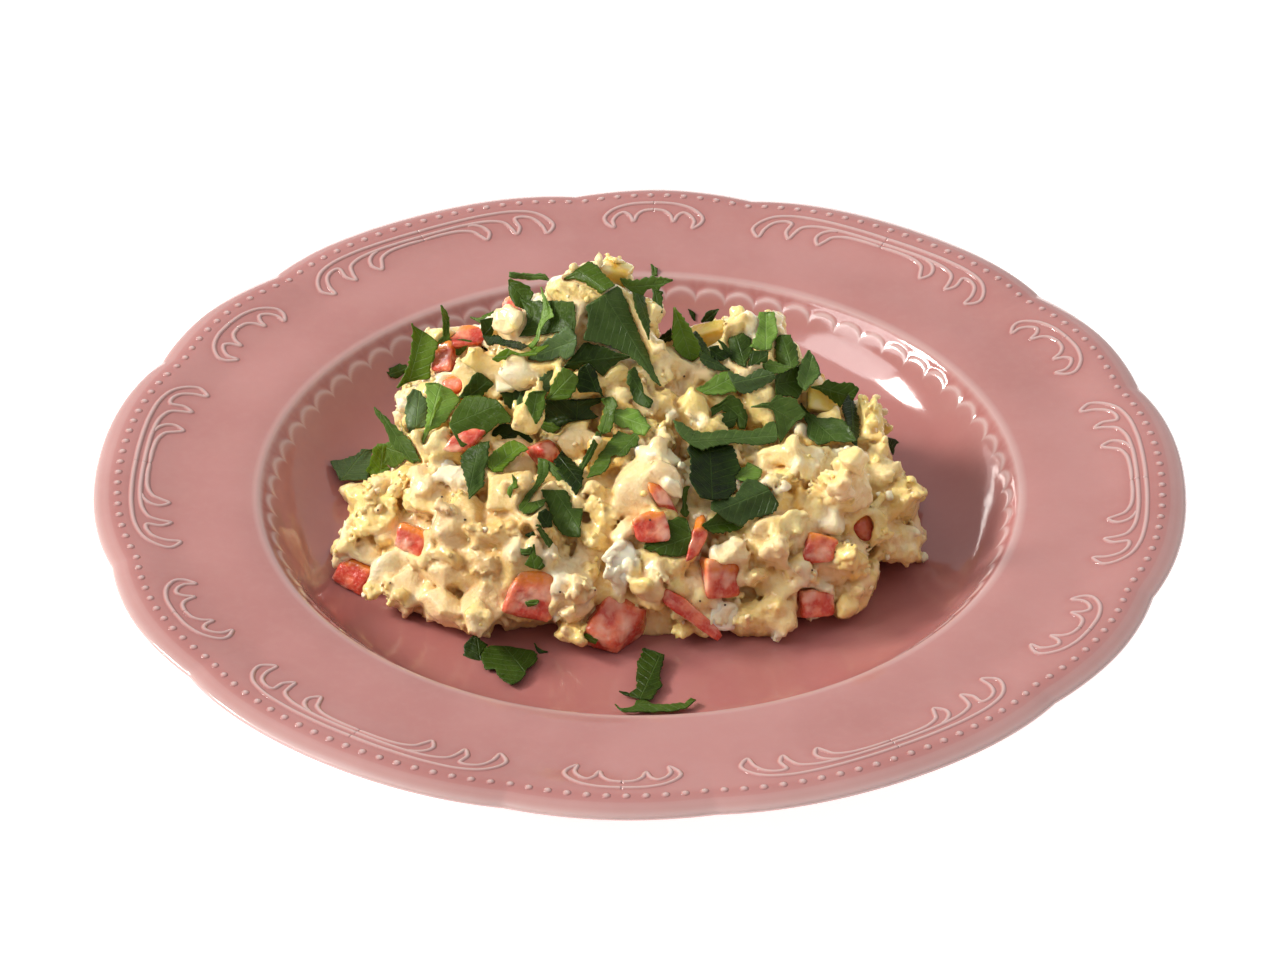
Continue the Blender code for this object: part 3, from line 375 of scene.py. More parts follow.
# The larger pieces of salad as the photograph shows them: ingredient, shape, column and row of its middle,
# size across, up and deep in millimetres, turn, tilt, and how far it stands proud of the bare heap.
PIECES = [
    ("cheese", "slab", 375, 515, 13, 11, 6, 25, 0, 1.5),
    ("cheese", "lump", 347, 549, 8, 7, 6, 0, 0, 1.0),
    ("cheese", "lump", 398, 480, 13, 9, 9, 20, 0, 1.0),
    ("cheese", "lump", 356, 494, 9, 8, 8, 0, 0, 1.0),
    ("egg", "lump", 441, 474, 9, 7.5, 6, 10, 0, 1.4),
    ("cheese", "lump", 440, 500, 12, 10, 8, -10, 0, 1.0),
    ("cheese", "lump", 468, 513, 9, 11, 8, 0, 0, 1.5),
    ("lemon", "dice", 508, 491, 11.5, 12, 7, -5, 0, 1.5),
    ("cheese", "slab", 505, 529, 27, 5, 6, 0, 0, 2.5),
    ("tomato", "dice", 412, 540, 8, 7, 6, -25, 0, 0.8),
    ("tomato", "dice", 357, 577, 8, 10, 8, -20, 0, 0.6),
    ("dressing", "lump", 400, 578, 13, 15, 10, 0, 0, 1.0),
    ("chicken", "lump", 440, 566, 15, 11, 10, -10, 0, 2.0),
    ("dressing", "lump", 482, 562, 15, 14, 8, 0, 0, 0.5),
    ("cheese", "dice", 431, 608, 7, 7, 6, 5, 0, 1.0),
    ("cheese", "shred", 468, 612, 12, 4, 4, -25, 0, 1.0),
    ("cheese", "shred", 477, 624, 13, 4.5, 4, -20, 0, 1.0),
    ("cheese", "slab", 528, 548, 14, 11, 6, 30, 0, 1.5),
    ("tomato", "dice", 530, 593, 12, 13, 11, -10, 0, 2.8),
    ("dressing", "shred", 496, 592, 4, 10, 4, 25, 0, 1.0),
    ("cheese", "lump", 562, 583, 9, 8, 8, 0, 0, 2.0),
    ("cheese", "lump", 590, 590, 14, 10, 9, -10, 0, 1.5),
    ("egg", "dice", 556, 607, 4.5, 5, 4, 20, 0, 2.0),
    ("chicken", "dice", 588, 556, 10, 9, 8, -20, 0, -1.0),
    ("cheese", "lump", 573, 625, 10, 9, 8, 0, 0, 1.0),
    ("white", "lump", 598, 615, 8, 5, 5, -10, 0, 1.5),
    ("tomato", "dice", 609, 643, 13, 12, 11, -25, 15, 2.2),
    ("cheese", "lump", 604, 512, 8, 12, 7, 20, 0, 1.0),
    ("cheese", "lump", 592, 535, 9, 9, 8, 0, 0, 0.5),
    ("chicken", "lump", 640, 488, 17, 16, 11, 10, 0, 2.5),
    ("egg", "lump", 655, 463, 11, 8, 7, -25, 0, 3.7),
    ("cheese", "lump", 655, 434, 12, 8, 8, -20, 0, 2.0),
    ("egg", "slab", 623, 565, 7.5, 13, 5, -15, 0, 1.7),
    ("cheese", "lump", 610, 590, 9, 9, 8, 0, 0, 1.0),
    ("cheese", "lump", 660, 565, 14, 10, 9, 0, 0, 1.5),
    ("cheese", "lump", 650, 595, 9, 10, 8, 0, 0, 1.0),
    ("tomato", "slab", 650, 528, 10, 8, 5, 10, 0, 0.8),
    ("tomato", "shred", 697, 540, 4, 10, 4, -15, 0, 0.8),
    ("cheese", "lump", 675, 552, 15, 7, 7, 0, 0, 1.2),
    ("tomato", "shred", 661, 497, 4, 8, 4, 40, 0, 0.6),
    ("tomato", "dice", 719, 580, 9.5, 11, 9, -5, 10, 1.8),
    ("tomato", "shred", 684, 607, 18, 4.5, 4, -40, 0, 1.8),
    ("dressing", "lump", 700, 597, 14, 9, 8, 0, 0, 0.3),
    ("egg", "dice", 721, 616, 8.5, 7, 7, -5, 0, 2.2),
    ("cheese", "dice", 690, 625, 9, 5, 6, 0, 0, 0.5),
    ("cheese", "lump", 770, 618, 12, 12, 10, 0, 0, 1.5),
    ("yolk", "lump", 777, 616, 6, 6, 5, 0, 0, 2.0),
    ("cheese", "lump", 748, 612, 9, 9, 8, 0, 0, 1.0),
    ("cheese", "lump", 752, 540, 14, 9, 8, 0, 0, 1.5),
    ("cheese", "lump", 757, 558, 11, 9, 8, 0, 0, 1.5),
    ("chicken", "lump", 790, 590, 10, 9, 8, 0, 0, 0.5),
    ("dressing", "lump", 770, 580, 12, 10, 8, 0, 0, 0.5),
    ("tomato", "dice", 818, 548, 8, 8, 7, -5, 0, 1.8),
    ("chicken", "lump", 838, 562, 16, 13, 10, 0, 0, 1.5),
    ("cheese", "lump", 862, 575, 9, 12, 9, -20, 0, 1.0),
    ("cheese", "slab", 848, 605, 11, 8, 6, 20, 0, 1.0),
    ("tomato", "dice", 812, 606, 10, 8, 8, 0, 0, 0.3),
    ("cheese", "slab", 848, 515, 26, 9, 5, -28, 0, 3.5),
    ("white", "lump", 830, 525, 7, 7, 6, 0, 0, 3.0),
    ("cheese", "lump", 800, 478, 14, 10, 8, 0, 0, 1.5),
    ("cheese", "lump", 832, 480, 12, 13, 8, 0, 0, 1.5),
    ("white", "shred", 828, 458, 10, 2.5, 3, 15, 0, 2.0),
    ("white", "slab", 856, 460, 7, 4, 4, -30, 0, 2.0),
    ("lemon", "slab", 874, 440, 11, 20, 7, -15, 0, 1.0),
    ("cheese", "lump", 890, 490, 14, 18, 10, -10, 0, 1.0),
    ("cheese", "lump", 905, 520, 10, 12, 9, 0, 0, 0.5),
    ("cheese", "lump", 895, 548, 13, 8, 9, 0, 0, 0.5),
    ("tomato", "lump", 863, 529, 6, 8, 5, 25, 0, 1.6),
    ("yolk", "lump", 800, 500, 8, 10, 7, 0, 0, -0.5),
    ("cheese", "lump", 775, 500, 9, 12, 8, 10, 0, 0.5),
    ("yolk", "lump", 575, 284, 11, 9, 8, 15, 0, 1.0),
    ("cheese", "lump", 580, 298, 13, 8, 8, 0, 0, 1.0),
    ("corn", "kernel", 614, 273, 8.5, 7.5, 7, -15, 0, 1.5),
    ("tomato", "dice", 512, 309, 5, 7, 5, 15, 0, 1.2),
    ("cheese", "lump", 528, 325, 9, 9, 8, 0, 0, 1.0),
    ("tomato", "slab", 467, 340, 12, 6, 5, 5, 0, 1.2),
    ("tomato", "dice", 444, 360, 6, 8, 5, 0, 0, 0.8),
    ("chicken", "slab", 472, 370, 12, 6.5, 5, 0, 0, 1.5),
    ("cheese", "lump", 550, 368, 14, 9, 8, 15, 0, 1.0),
    ("egg", "dice", 511, 378, 7, 7, 6, 5, 0, 1.7),
    ("cheese", "lump", 488, 363, 9, 8, 7, 0, 0, 1.0),
    ("tomato", "slab", 454, 387, 6.5, 5, 4, 0, 0, 0.8),
    ("cheese", "lump", 413, 395, 9, 12, 8, 0, 0, 0.5),
    ("yolk", "lump", 421, 382, 7, 5, 5, 0, 0, 0.8),
    ("cheese", "lump", 430, 448, 12, 12, 9, 0, 0, 1.0),
    ("cheese", "lump", 405, 425, 6, 8, 8, 0, 0, 0.5),
    ("tomato", "slab", 464, 441, 9, 5, 4, 30, 0, 0.6),
    ("tomato", "lump", 544, 452, 8, 8, 6, 0, 0, 0.6),
    ("yolk", "slab", 494, 390, 4, 6, 4, 0, 0, 0.5),
    ("cheese", "lump", 612, 385, 12, 11, 8, 10, 0, 1.0),
    ("chicken", "lump", 640, 405, 13, 8, 7, -35, 0, 1.0),
    ("dressing", "lump", 580, 455, 10, 10, 7, 0, 0, -1.0),
    ("cheese", "lump", 738, 322, 12, 8, 9, 10, 0, 1.0),
    ("corn", "kernel", 710, 334, 9, 6.5, 7, -5, 0, 1.2),
    ("chicken", "lump", 700, 372, 15, 8, 8, 15, 0, 1.5),
    ("cheese", "lump", 676, 352, 8, 8, 7, 0, 0, 1.0),
    ("cheese", "lump", 662, 408, 8, 10, 8, 0, 0, 0.8),
    ("cheese", "lump", 692, 412, 12, 11, 8, -20, 0, 1.5),
    ("cheese", "lump", 722, 400, 9, 9, 7, 0, 0, 0.8),
    ("cheese", "dice", 763, 405, 9, 11, 7, 5, 0, 1.0),
    ("corn", "kernel", 822, 401, 8.5, 6, 6, -10, 0, 0.8),
    ("cheese", "lump", 795, 450, 10, 13, 8, 10, 0, 1.0),
    ("cheese", "lump", 773, 320, 6, 8, 7, 0, 0, 0.0),
    ("cheese", "lump", 770, 460, 12, 10, 8, 0, 0, 0.8),
]
# The ingredients that are pieces of their own, and those that nothing may cover.
SHOWN = ("tomato", "corn", "egg")
CLEAR = ("tomato", "corn")

# Small bits of leaf and stalk: how light, as painted light and shade; how yellow, partly painted light
# through them, and below zero how grey, as a painted sheen; and the outline in the photograph.
BITS = [
    (0.05, 0.3, [(475, 635), (480, 639), (489, 645), (484, 650), (481, 656), (482, 662), (478, 661),
        (464, 658), (463, 648), (469, 639)]),
    (0.38, -0.8, [(537, 381), (545, 373), (552, 366), (563, 369), (555, 383), (548, 393), (541, 389)]),
    (0.06, 0.0, [(500, 391), (508, 390), (514, 381), (512, 389), (530, 389), (526, 400), (519, 404),
        (516, 411), (508, 408), (503, 401)]),
    (0.35, -0.5, [(521, 392), (524, 399), (524, 412), (519, 411), (516, 403)]),
    (0.04, 0.0, [(486, 431), (500, 424), (515, 425), (527, 432), (533, 441), (524, 446), (510, 441),
        (495, 438)]),
    (0.50, 0.4, [(534, 423), (553, 422), (556, 426), (561, 428), (552, 434), (543, 430)]),
    (0.90, 0.8, [(440, 396), (444, 398), (436, 412), (430, 427), (424, 443), (421, 440), (427, 424),
        (433, 410)]),
    (0.20, 0.2, [(386, 371), (391, 367), (400, 364), (407, 365), (405, 372), (401, 377), (391, 378),
        (388, 374)]),
    (0.62, 0.9, [(492, 359), (500, 352), (507, 348), (512, 351), (520, 354), (530, 352), (534, 347),
        (549, 345), (535, 356), (524, 356), (512, 354), (505, 360), (496, 362)]),
    (0.10, 0.3, [(481, 336), (484, 345), (488, 351), (498, 355), (492, 359), (485, 354), (480, 346)]),
    (0.30, 0.0, [(548, 461), (553, 463), (562, 472), (571, 483), (566, 488), (556, 480), (549, 470)]),
    (0.20, 0.2, [(597, 431), (602, 434), (598, 445), (591, 458), (583, 471), (579, 466), (588, 450)]),
    (0.45, 0.6, [(470, 317), (480, 318), (485, 315), (494, 311), (487, 319), (480, 323)]),
    (0.65, 0.5, [(512, 474), (517, 480), (518, 488), (513, 489), (511, 498), (507, 496), (508, 488),
        (513, 483)]),
    (0.30, 0.0, [(536, 525), (540, 525), (553, 543), (549, 548), (546, 544), (536, 528)]),
    (0.00, 0.0, [(525, 535), (533, 531), (538, 533), (537, 539), (530, 538)]),
    (0.28, 0.1, [(520, 549), (532, 547), (532, 553), (529, 556), (521, 555)]),
    (0.40, 0.4, [(534, 544), (536, 555), (541, 558), (545, 567), (540, 570), (532, 568), (525, 564),
        (530, 556)]),
    (0.50, 0.5, [(525, 602), (530, 600), (539, 600), (539, 604), (528, 607)]),
    (0.55, 0.6, [(582, 636), (585, 633), (592, 635), (598, 640), (596, 644), (588, 641)]),
    (0.20, 0.2, [(652, 289), (662, 290), (663, 300), (662, 313), (652, 313), (653, 300)]),
    (0.30, 0.2, [(651, 264), (658, 269), (657, 276), (652, 276)]),
    (0.00, 0.0, [(688, 309), (693, 311), (696, 314), (695, 321), (692, 319)]),
    (0.08, -0.4, [(701, 322), (705, 314), (711, 310), (719, 309), (716, 315), (712, 322)]),
    (0.80, -0.1, [(762, 364), (770, 359), (780, 363), (793, 367), (785, 372), (775, 374), (766, 370)]),
    (0.20, 0.0, [(707, 430), (715, 420), (724, 413), (733, 412), (738, 416), (735, 425), (728, 430),
        (715, 432)]),
    (0.60, 0.4, [(678, 490), (690, 485), (687, 494), (686, 503), (691, 513), (686, 517), (680, 514),
        (683, 504), (682, 496)]),
    (0.05, -0.3, [(885, 436), (892, 438), (900, 441), (895, 446), (893, 455), (888, 448)]),
    (0.02, 0.0, [(655, 342), (662, 335), (671, 328), (673, 339), (664, 343)]),
    (0.06, 0.0, [(534, 643), (540, 649), (548, 652), (538, 654)]),
    (0.22, -0.6, [(700, 351), (706, 355), (715, 358), (723, 365), (730, 370), (718, 371), (707, 367),
        (700, 360)]),
    (0.02, 0.0, [(709, 347), (717, 345), (731, 356), (723, 361), (712, 358)]),
    (0.10, 0.0, [(718, 340), (724, 343), (730, 350), (733, 361), (728, 356), (722, 347)]),
    (0.12, 0.0, [(751, 351), (768, 351), (768, 361), (756, 365), (748, 366)]),
    (0.02, 0.2, [(538, 512), (546, 508), (553, 517), (552, 527), (544, 528), (537, 519)]),
    (0.04, 0.3, [(619, 691), (626, 692), (632, 694), (631, 697), (624, 695)]),
]
BIT_SPACING = 0.5
BIT_FARTHEST = 14.0
BIT_THICKNESS = 0.9 * SHEET_THICKNESS

# Specks of pepper: column and row in the photograph.
SPECKS = [(378, 510), (442, 497), (390, 583), (465, 520), (835, 552), (700, 601), (595, 590), (684, 376),
          (725, 605), (560, 592), (812, 570), (650, 520)]
SPECK_SIZES = (0.25, 0.42)

# The salad's grid: its cell and its lowest and highest corners.
CELL = 0.58
GRID_LOW = np.array((-84.0, -63.0, 4.0))
GRID_HIGH = np.array((80.0, 63.0, 78.0))
CORE_DEPTH = 4.2
BUMP = 0.3
CURD = 0.38
GRAIN = 0.12
WAVES = (17.0, 5.5, 3.3, 2.0)
WIDE_CELLS = 2
SMOOTH_OR_ROUGH = (0.25, 0.6, 1.0, 1.3)
STAND_OUT = 1.1
HERO_COVER = 0.12
THIN_SHARE = 0.36
TALLEST = 74.4
MOST_TRIANGLES = 196000
CRUMBS = 300
NEAR_ROOM = (0.22, 2.2)
WIDE_ROOM = (0.44, 5.0)
LOWER_LEFT = (-38, -34)
LOWER_LEFT_HALF = (20, 16)
# Painted shade that darkens the salad's lower left, more in green and blue.
LOWER_LEFT_PAINTED_SHADE = (0.22, 0.32, 0.34)
# Painted shade: a darker amber laid into the salad's crevices, with a painted warm glow of light through the
# food there.
CREVICE_SHADE_COLOUR = (0.66, 0.33, 0.08)
CREVICE_SHADE_SHARE = 0.75

# Tiers of smaller pieces: how many, how far apart, sizes, how far out, shapes, softness and blends.
TIERS = (
    (180, 8.6, (9.0, 14.5), (-0.25, 0.06), ("lump", "lump", "dice", "slab"), 0.45, (0.6, 1.3)),
    (420, 4.9, (4.6, 8.4), (-0.4, 0.0), ("lump", "slab", "lump", "shred"), 0.34, (0.4, 1.0)),
    (420, 3.2, (2.0, 3.8), (-0.4, 0.1), ("lump", "shred", "slab", "shred"), 0.2, (0.3, 0.7)),
)

# The lumps just inside the outline, and those behind the leaves.
EDGE_SPACING = 6.0
EDGE_SIZES = (6.5, 11.0)
EDGE_MIXTURE = {"cheese": 0.4, "dressing": 0.3, "white": 0.12, "chicken": 0.18}
PROP_SIZES = (6.0, 8.5)

# The faces of each shape: how many, how far out, and how much they turn at random.
BOX_FACES = [(1, 0, 0), (-1, 0, 0), (0, 1, 0), (0, -1, 0), (0, 0, 1), (0, 0, -1)]
BOX_OUT = 0.46
BOX_TURN = 0.13
SLAB_SIDES = 7
SLAB_OUT = 0.46
SLAB_HALF = 0.48
SLAB_TURN = 0.2
LUMP_FACES = 11
LUMP_OUT = 0.43
LUMP_TURN = 0.3
GOLDEN_TURN = 2.39996
OUT_SPREAD = (0.84, 1.08)

# Each ingredient's colour.
INGREDIENTS = {
    "dressing": (0.97, 0.73, 0.32),
    "chicken": (0.95, 0.70, 0.37),
    "cheese": (0.96, 0.68, 0.22),
    "lemon": (0.97, 0.72, 0.25),
    "yolk": (0.94, 0.54, 0.09),
    "white": (0.97, 0.86, 0.60),
    "egg": (0.97, 0.86, 0.60),
    "corn": (0.84, 0.52, 0.07),
    "tomato": (0.55, 0.07, 0.045),
}

# Colours of the films, flecks and skins over them.
CURD_FLECK = (0.95, 0.82, 0.52)
AMBER = (0.90, 0.55, 0.12)
TOMATO_FLESH = ((0.58, 0.055, 0.03), (0.80, 0.20, 0.10))
TOMATO_SKIN = (0.80, 0.24, 0.03)
TOMATO_FILM = (0.94, 0.60, 0.42)
CORN_SKIN = ((0.82, 0.50, 0.06), (0.86, 0.66, 0.16))
CORN_FILM = (0.86, 0.74, 0.44)
EGG_WHITE = (0.96, 0.88, 0.68)
EGG_FILM = (0.94, 0.76, 0.42)
PEPPER = ((0.03, 0.018, 0.01), (0.09, 0.05, 0.03))

# The looks of the ingredients that show: the finish's roughness, scatter, grain, bump depth and pale colour,
# then how deep their relief is and how far they grow.
SHOWN_LOOKS = {
    "tomato": (0.18, 0.4, 0.9, 0.25, (0.84, 0.36, 0.24), 0.34, 0.0),
    "corn": (0.24, 0.35, 1.4, 0.06, (0.88, 0.72, 0.30), 0.1, 0.0),
    "egg": (0.34, 0.35, 1.2, 0.1, (0.90, 0.85, 0.68), 0.2, -0.1),
}
SHOWN_LEVEL = 4

# The mixture of the smaller pieces.
MIXTURE = {"cheese": 0.3, "lemon": 0.12, "chicken": 0.2, "white": 0.15, "yolk": 0.04, "dressing": 0.19}


def outline_inset(bearing):
    """How far the plate's edge lies inside its full circle at bearings in degrees."""
    sector = 360.0 / LOBES
    off = np.abs((bearing - LONG_LOBE_MIDDLE + sector / 2) % sector - sector / 2)
    long_part = LONG_LOBE_DEPTH * (off / LONG_LOBE_HALF) ** LONG_LOBE_POWER
    rest = np.clip((sector / 2 - off) / SHORT_LOBE_HALF, 0.0, 1.0)
    short_part = PLATE_RADIUS - SHORT_LOBE_RADIUS
    short_part = short_part + (SHORT_LOBE_RADIUS - DIP_RADIUS) * rest**SHORT_LOBE_POWER
    return np.where(off <= LONG_LOBE_HALF, long_part, short_part)


def scallop(radius, height, bearing):
    """Nominal radius and height moved in and down with the scalloped edge."""
    share = np.clip((radius - SCALLOP_START) / (PLATE_RADIUS - SCALLOP_START), 0.0, 1.0)
    inset = outline_inset(bearing)
    return radius - share * inset, height - share * DIP_DROP * inset / LONG_LOBE_DEPTH


def plate_height(x, y):
    """The plate's upper face at a place, as in its solid."""
    radii, heights = zip(*(UPPER + RIM_UPPER))
    return np.interp(np.hypot(x, y), radii, heights)


def heap_height(x, y):
    """The bare heap's height at a place, far below the floor outside it."""
    x = np.asarray(x, float)
    y = np.asarray(y, float)
    total = np.zeros(np.broadcast(x, y).shape)
    for middle_x, middle_y, half_x, half_y, tall in LUMPS:
        away = ((x - middle_x) / half_x) ** 2 + ((y - middle_y) / half_y) ** 2
        inside = tall * np.sqrt(np.maximum(1.0 - away, 0.0))
        outside = -2.0 * tall * (np.sqrt(np.maximum(away, 1.0)) - 1.0)
        total = total + np.exp(np.clip(BLEND * np.where(away < 1.0, inside, outside), -40.0, 40.0))
    return FLOOR_HEIGHT + np.log(total) / BLEND


def surface(x, y):
    """The bare heap or the plate, whichever is higher."""
    return np.maximum(heap_height(x, y), plate_height(x, y))


def surface_normal(x, y):
    """The way the surface faces, over a span of a few millimetres."""
    step = 2.0
    slope_x = float(surface(x + step, y) - surface(x - step, y)) / (2 * step)
    slope_y = float(surface(x, y + step) - surface(x, y - step)) / (2 * step)
    normal = np.array((-slope_x, -slope_y, 1.0))
    return normal / np.linalg.norm(normal)


def smooth_step(low, high, value):
    """Zero below low, one above high and smooth between."""
    share = np.clip((value - low) / (high - low), 0.0, 1.0)
    return share * share * (3.0 - 2.0 * share)


def smooth_line(points, spacing):
    """A smooth curve through some points, with points of its own about a spacing apart."""
    points = np.asarray(points, float)
    ends = np.vstack([2 * points[0] - points[1], points, 2 * points[-1] - points[-2]])
    made = []
    for i in range(1, len(ends) - 2):
        p0, p1, p2, p3 = ends[i - 1 : i + 3]
        gaps = [max(np.linalg.norm(b - a), 1e-6) ** 0.5 for a, b in ((p0, p1), (p1, p2), (p2, p3))]
        t0, t1 = 0.0, gaps[0]
        t2 = t1 + gaps[1]
        t3 = t2 + gaps[2]
        count = max(1, int(math.ceil(np.linalg.norm(p2 - p1) / spacing)))
        for t in np.linspace(t1, t2, count, endpoint=False):
            a1 = (t1 - t) / (t1 - t0) * p0 + (t - t0) / (t1 - t0) * p1
            a2 = (t2 - t) / (t2 - t1) * p1 + (t - t1) / (t2 - t1) * p2
            a3 = (t3 - t) / (t3 - t2) * p2 + (t - t2) / (t3 - t2) * p3
            b1 = (t2 - t) / (t2 - t0) * a1 + (t - t0) / (t2 - t0) * a2
            b2 = (t3 - t) / (t3 - t1) * a2 + (t - t1) / (t3 - t1) * a3
            made.append((t2 - t) / (t2 - t1) * b1 + (t - t1) / (t2 - t1) * b2)
    made.append(points[-1])
    return np.array(made)


def lattice_noise(points, scale, seed):
    """Smooth noise between -1 and 1 at points in millimetres, with features about a scale across."""
    table = np.random.default_rng(seed).uniform(-1.0, 1.0, (32, 32, 32)).astype(np.float32)
    place = np.asarray(points, np.float32) / scale + 1000.0
    cell = np.floor(place).astype(np.int64)
    part = place - cell
    part = part * part * (3.0 - 2.0 * part)
    total = np.zeros(part.shape[:-1], np.float32)
    for corner in range(8):
        step = np.array((corner & 1, corner >> 1 & 1, corner >> 2 & 1))
        weight = np.prod(np.where(step, part, 1.0 - part), axis=-1)
        spot = (cell + step) % 32
        total += weight * table[spot[..., 0], spot[..., 1], spot[..., 2]]
    return total


def mesh_object(name, points, faces, finish, values=None):
    """A mesh object from points in millimetres, faces, a material and named values of each point."""
    points = np.asarray(points, np.float32) * MM
    faces = np.asarray(faces, np.int32)
    mesh = bpy.data.meshes.new(name)
    mesh.vertices.add(len(points))
    mesh.vertices.foreach_set("co", points.ravel())
    mesh.loops.add(faces.size)
    mesh.loops.foreach_set("vertex_index", faces.ravel())
    mesh.polygons.add(len(faces))
    mesh.polygons.foreach_set("loop_start", np.arange(0, faces.size, faces.shape[1], dtype=np.int32))
    mesh.update(calc_edges=True)
    mesh.polygons.foreach_set("use_smooth", np.ones(len(faces), bool))
    made = bpy.data.objects.new(name, mesh)
    bpy.context.scene.collection.objects.link(made)
    mesh.materials.append(finish)
    for key, value in (values or {}).items():
        set_values(mesh, key, value)
    return made


def set_values(mesh, key, value):
    """Store a number or a colour for each point of a mesh."""
    value = np.asarray(value, np.float32)
    if value.ndim == 1:
        layer = mesh.attributes.new(key, "FLOAT", "POINT")
        layer.data.foreach_set("value", value)
    else:
        layer = mesh.attributes.new(key, "FLOAT_COLOR", "POINT")
        layer.data.foreach_set("color", np.hstack([value, np.ones((len(value), 1), np.float32)]).ravel())


def place_piece(piece, slot, *nodes):
    """Fix a piece to the part and hide the solids that it stands for."""
    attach(piece, "root")
    if nodes:
        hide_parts(*nodes)


class Finish:
    """A node material that is put together call by call."""

    def __init__(self, name, roughness):
        self.material = bpy.data.materials.new(name)
        self.material.use_nodes = True
        self.tree = self.material.node_tree
        self.shader = self.tree.nodes["Principled BSDF"]
        self.shader.inputs["Roughness"].default_value = roughness

    def set(self, **values):
        """Set plain values on the shader."""
        for key, value in values.items():
            self.shader.inputs[key.replace("_", " ")].default_value = value

    def node(self, kind, inputs=(), **settings):
        """A node with its settings, and inputs given by name or number."""
        made = self.tree.nodes.new(kind)
        for key, value in settings.items():
            setattr(made, key, value)
        for key, value in dict(inputs).items():
            if isinstance(value, bpy.types.NodeSocket):
                self.tree.links.new(value, made.inputs[key])
            else:
                made.inputs[key].default_value = value
        return made

    def value(self, key):
        """A number stored in the mesh."""
        return self.node("ShaderNodeAttribute", attribute_name=key).outputs["Fac"]

    def colour(self, key):
        """A colour stored in the mesh."""
        return self.node("ShaderNodeAttribute", attribute_name=key).outputs["Color"]

    def noise(self, size_mm, detail=2.0, rough=0.5):
        """Noise with features about this size."""
        where = self.node("ShaderNodeTexCoord").outputs["Object"]
        made = self.node(
            "ShaderNodeTexNoise",
            {"Vector": where, "Scale": 1.0 / (size_mm * MM), "Detail": detail, "Roughness": rough},
        )
        return made.outputs["Fac"]

    def ramp(self, value, low, high, out_low=0.0, out_high=1.0):
        """A value stretched from one span to another, held at its ends."""
        made = self.node(
            "ShaderNodeMapRange",
            {"Value": value, "From Min": low, "From Max": high, "To Min": out_low, "To Max": out_high},
        )
        return made.outputs["Result"]

    def mix(self, share, first, second):
        """Two colours mixed by a share."""
        made = self.node("ShaderNodeMix", data_type="RGBA")
        for socket, value in ((made.inputs[0], share), (made.inputs[6], first), (made.inputs[7], second)):
            if isinstance(value, bpy.types.NodeSocket):
                self.tree.links.new(value, socket)
            elif isinstance(value, tuple):
                socket.default_value = (*value, 1.0)
            else:
                socket.default_value = value
        return made.outputs[2]

    def math(self, operation, first, second=0.0):
        """The result of one operation on one or two numbers."""
        return self.node("ShaderNodeMath", {0: first, 1: second}, operation=operation).outputs[0]

    def bump(self, height, depth_mm):
        """Bumps of this depth from a height between 0 and 1."""
        made = self.node("ShaderNodeBump", {"Height": height, "Distance": depth_mm * MM, "Strength": 1.0})
        self.tree.links.new(made.outputs["Normal"], self.shader.inputs["Normal"])

    def link(self, source, key):
        """Join a socket to an input of the shader."""
        self.tree.links.new(source, self.shader.inputs[key])


def glaze():
    """Dusty pink glaze that runs thin and pale over raised edges and pools darker in the hollows."""
    made = Finish("plate_glaze", 0.1)
    thin = made.value("thin")
    cloud = made.noise(34.0, 2.0)
    drift = made.noise(11.0, 3.0)
    grain = made.noise(2.2, 3.0)
    base = made.mix(made.ramp(cloud, 0.35, 0.65), *GLAZE_CLOUDS)
    base = made.mix(made.ramp(drift, 0.5, 0.75, 0.0, 0.22), base, GLAZE_DRIFT)
    base = made.mix(made.ramp(grain, 0.45, 0.75, 0.0, 0.12), base, GLAZE_GRAIN)
    base = made.mix(made.ramp(thin, 0.0, -1.0), base, GLAZE_POOL)
    base = made.mix(made.ramp(thin, 0.0, 1.0), base, GLAZE_THIN)
    made.link(base, "Base Color")
    made.set(IOR=1.5, Subsurface_Weight=0.06, Subsurface_Scale=0.002)
    made.bump(made.noise(7.0, 1.0), 0.06)
    return made.material


def petal_relief(bearing, down):
    """Height and paleness of the petals at the top of the well's wall, from the way down along it."""
    pitch = 360.0 / PETALS
    across = np.abs(((bearing - PETAL_PHASE) / pitch) % 1.0 - 0.5) * 2
    edge = PETAL_TALL * (1.0 - np.sqrt(np.clip(1.0 - (across * 0.97) ** 2, 0.0, 1.0)))
    inside = (down - edge) * np.clip(0.55 + 0.45 * (1.0 - across), 0.0, 1.0)
    height = PETAL_HEIGHT * smooth_step(-0.6, 0.9, inside) * (1.0 - smooth_step(3.0, 14.0, down))
    ridge = 0.5 * np.exp(-(((inside - 0.35) / 0.6) ** 2))
    pale = ridge + 0.22 * smooth_step(0.0, 1.0, inside) * np.exp(-down / 6.0)
    pooled = 0.36 * np.exp(-(((inside + 0.7) / 0.75) ** 2)) * smooth_step(0.25, 0.8, across)
    return height, pale - pooled


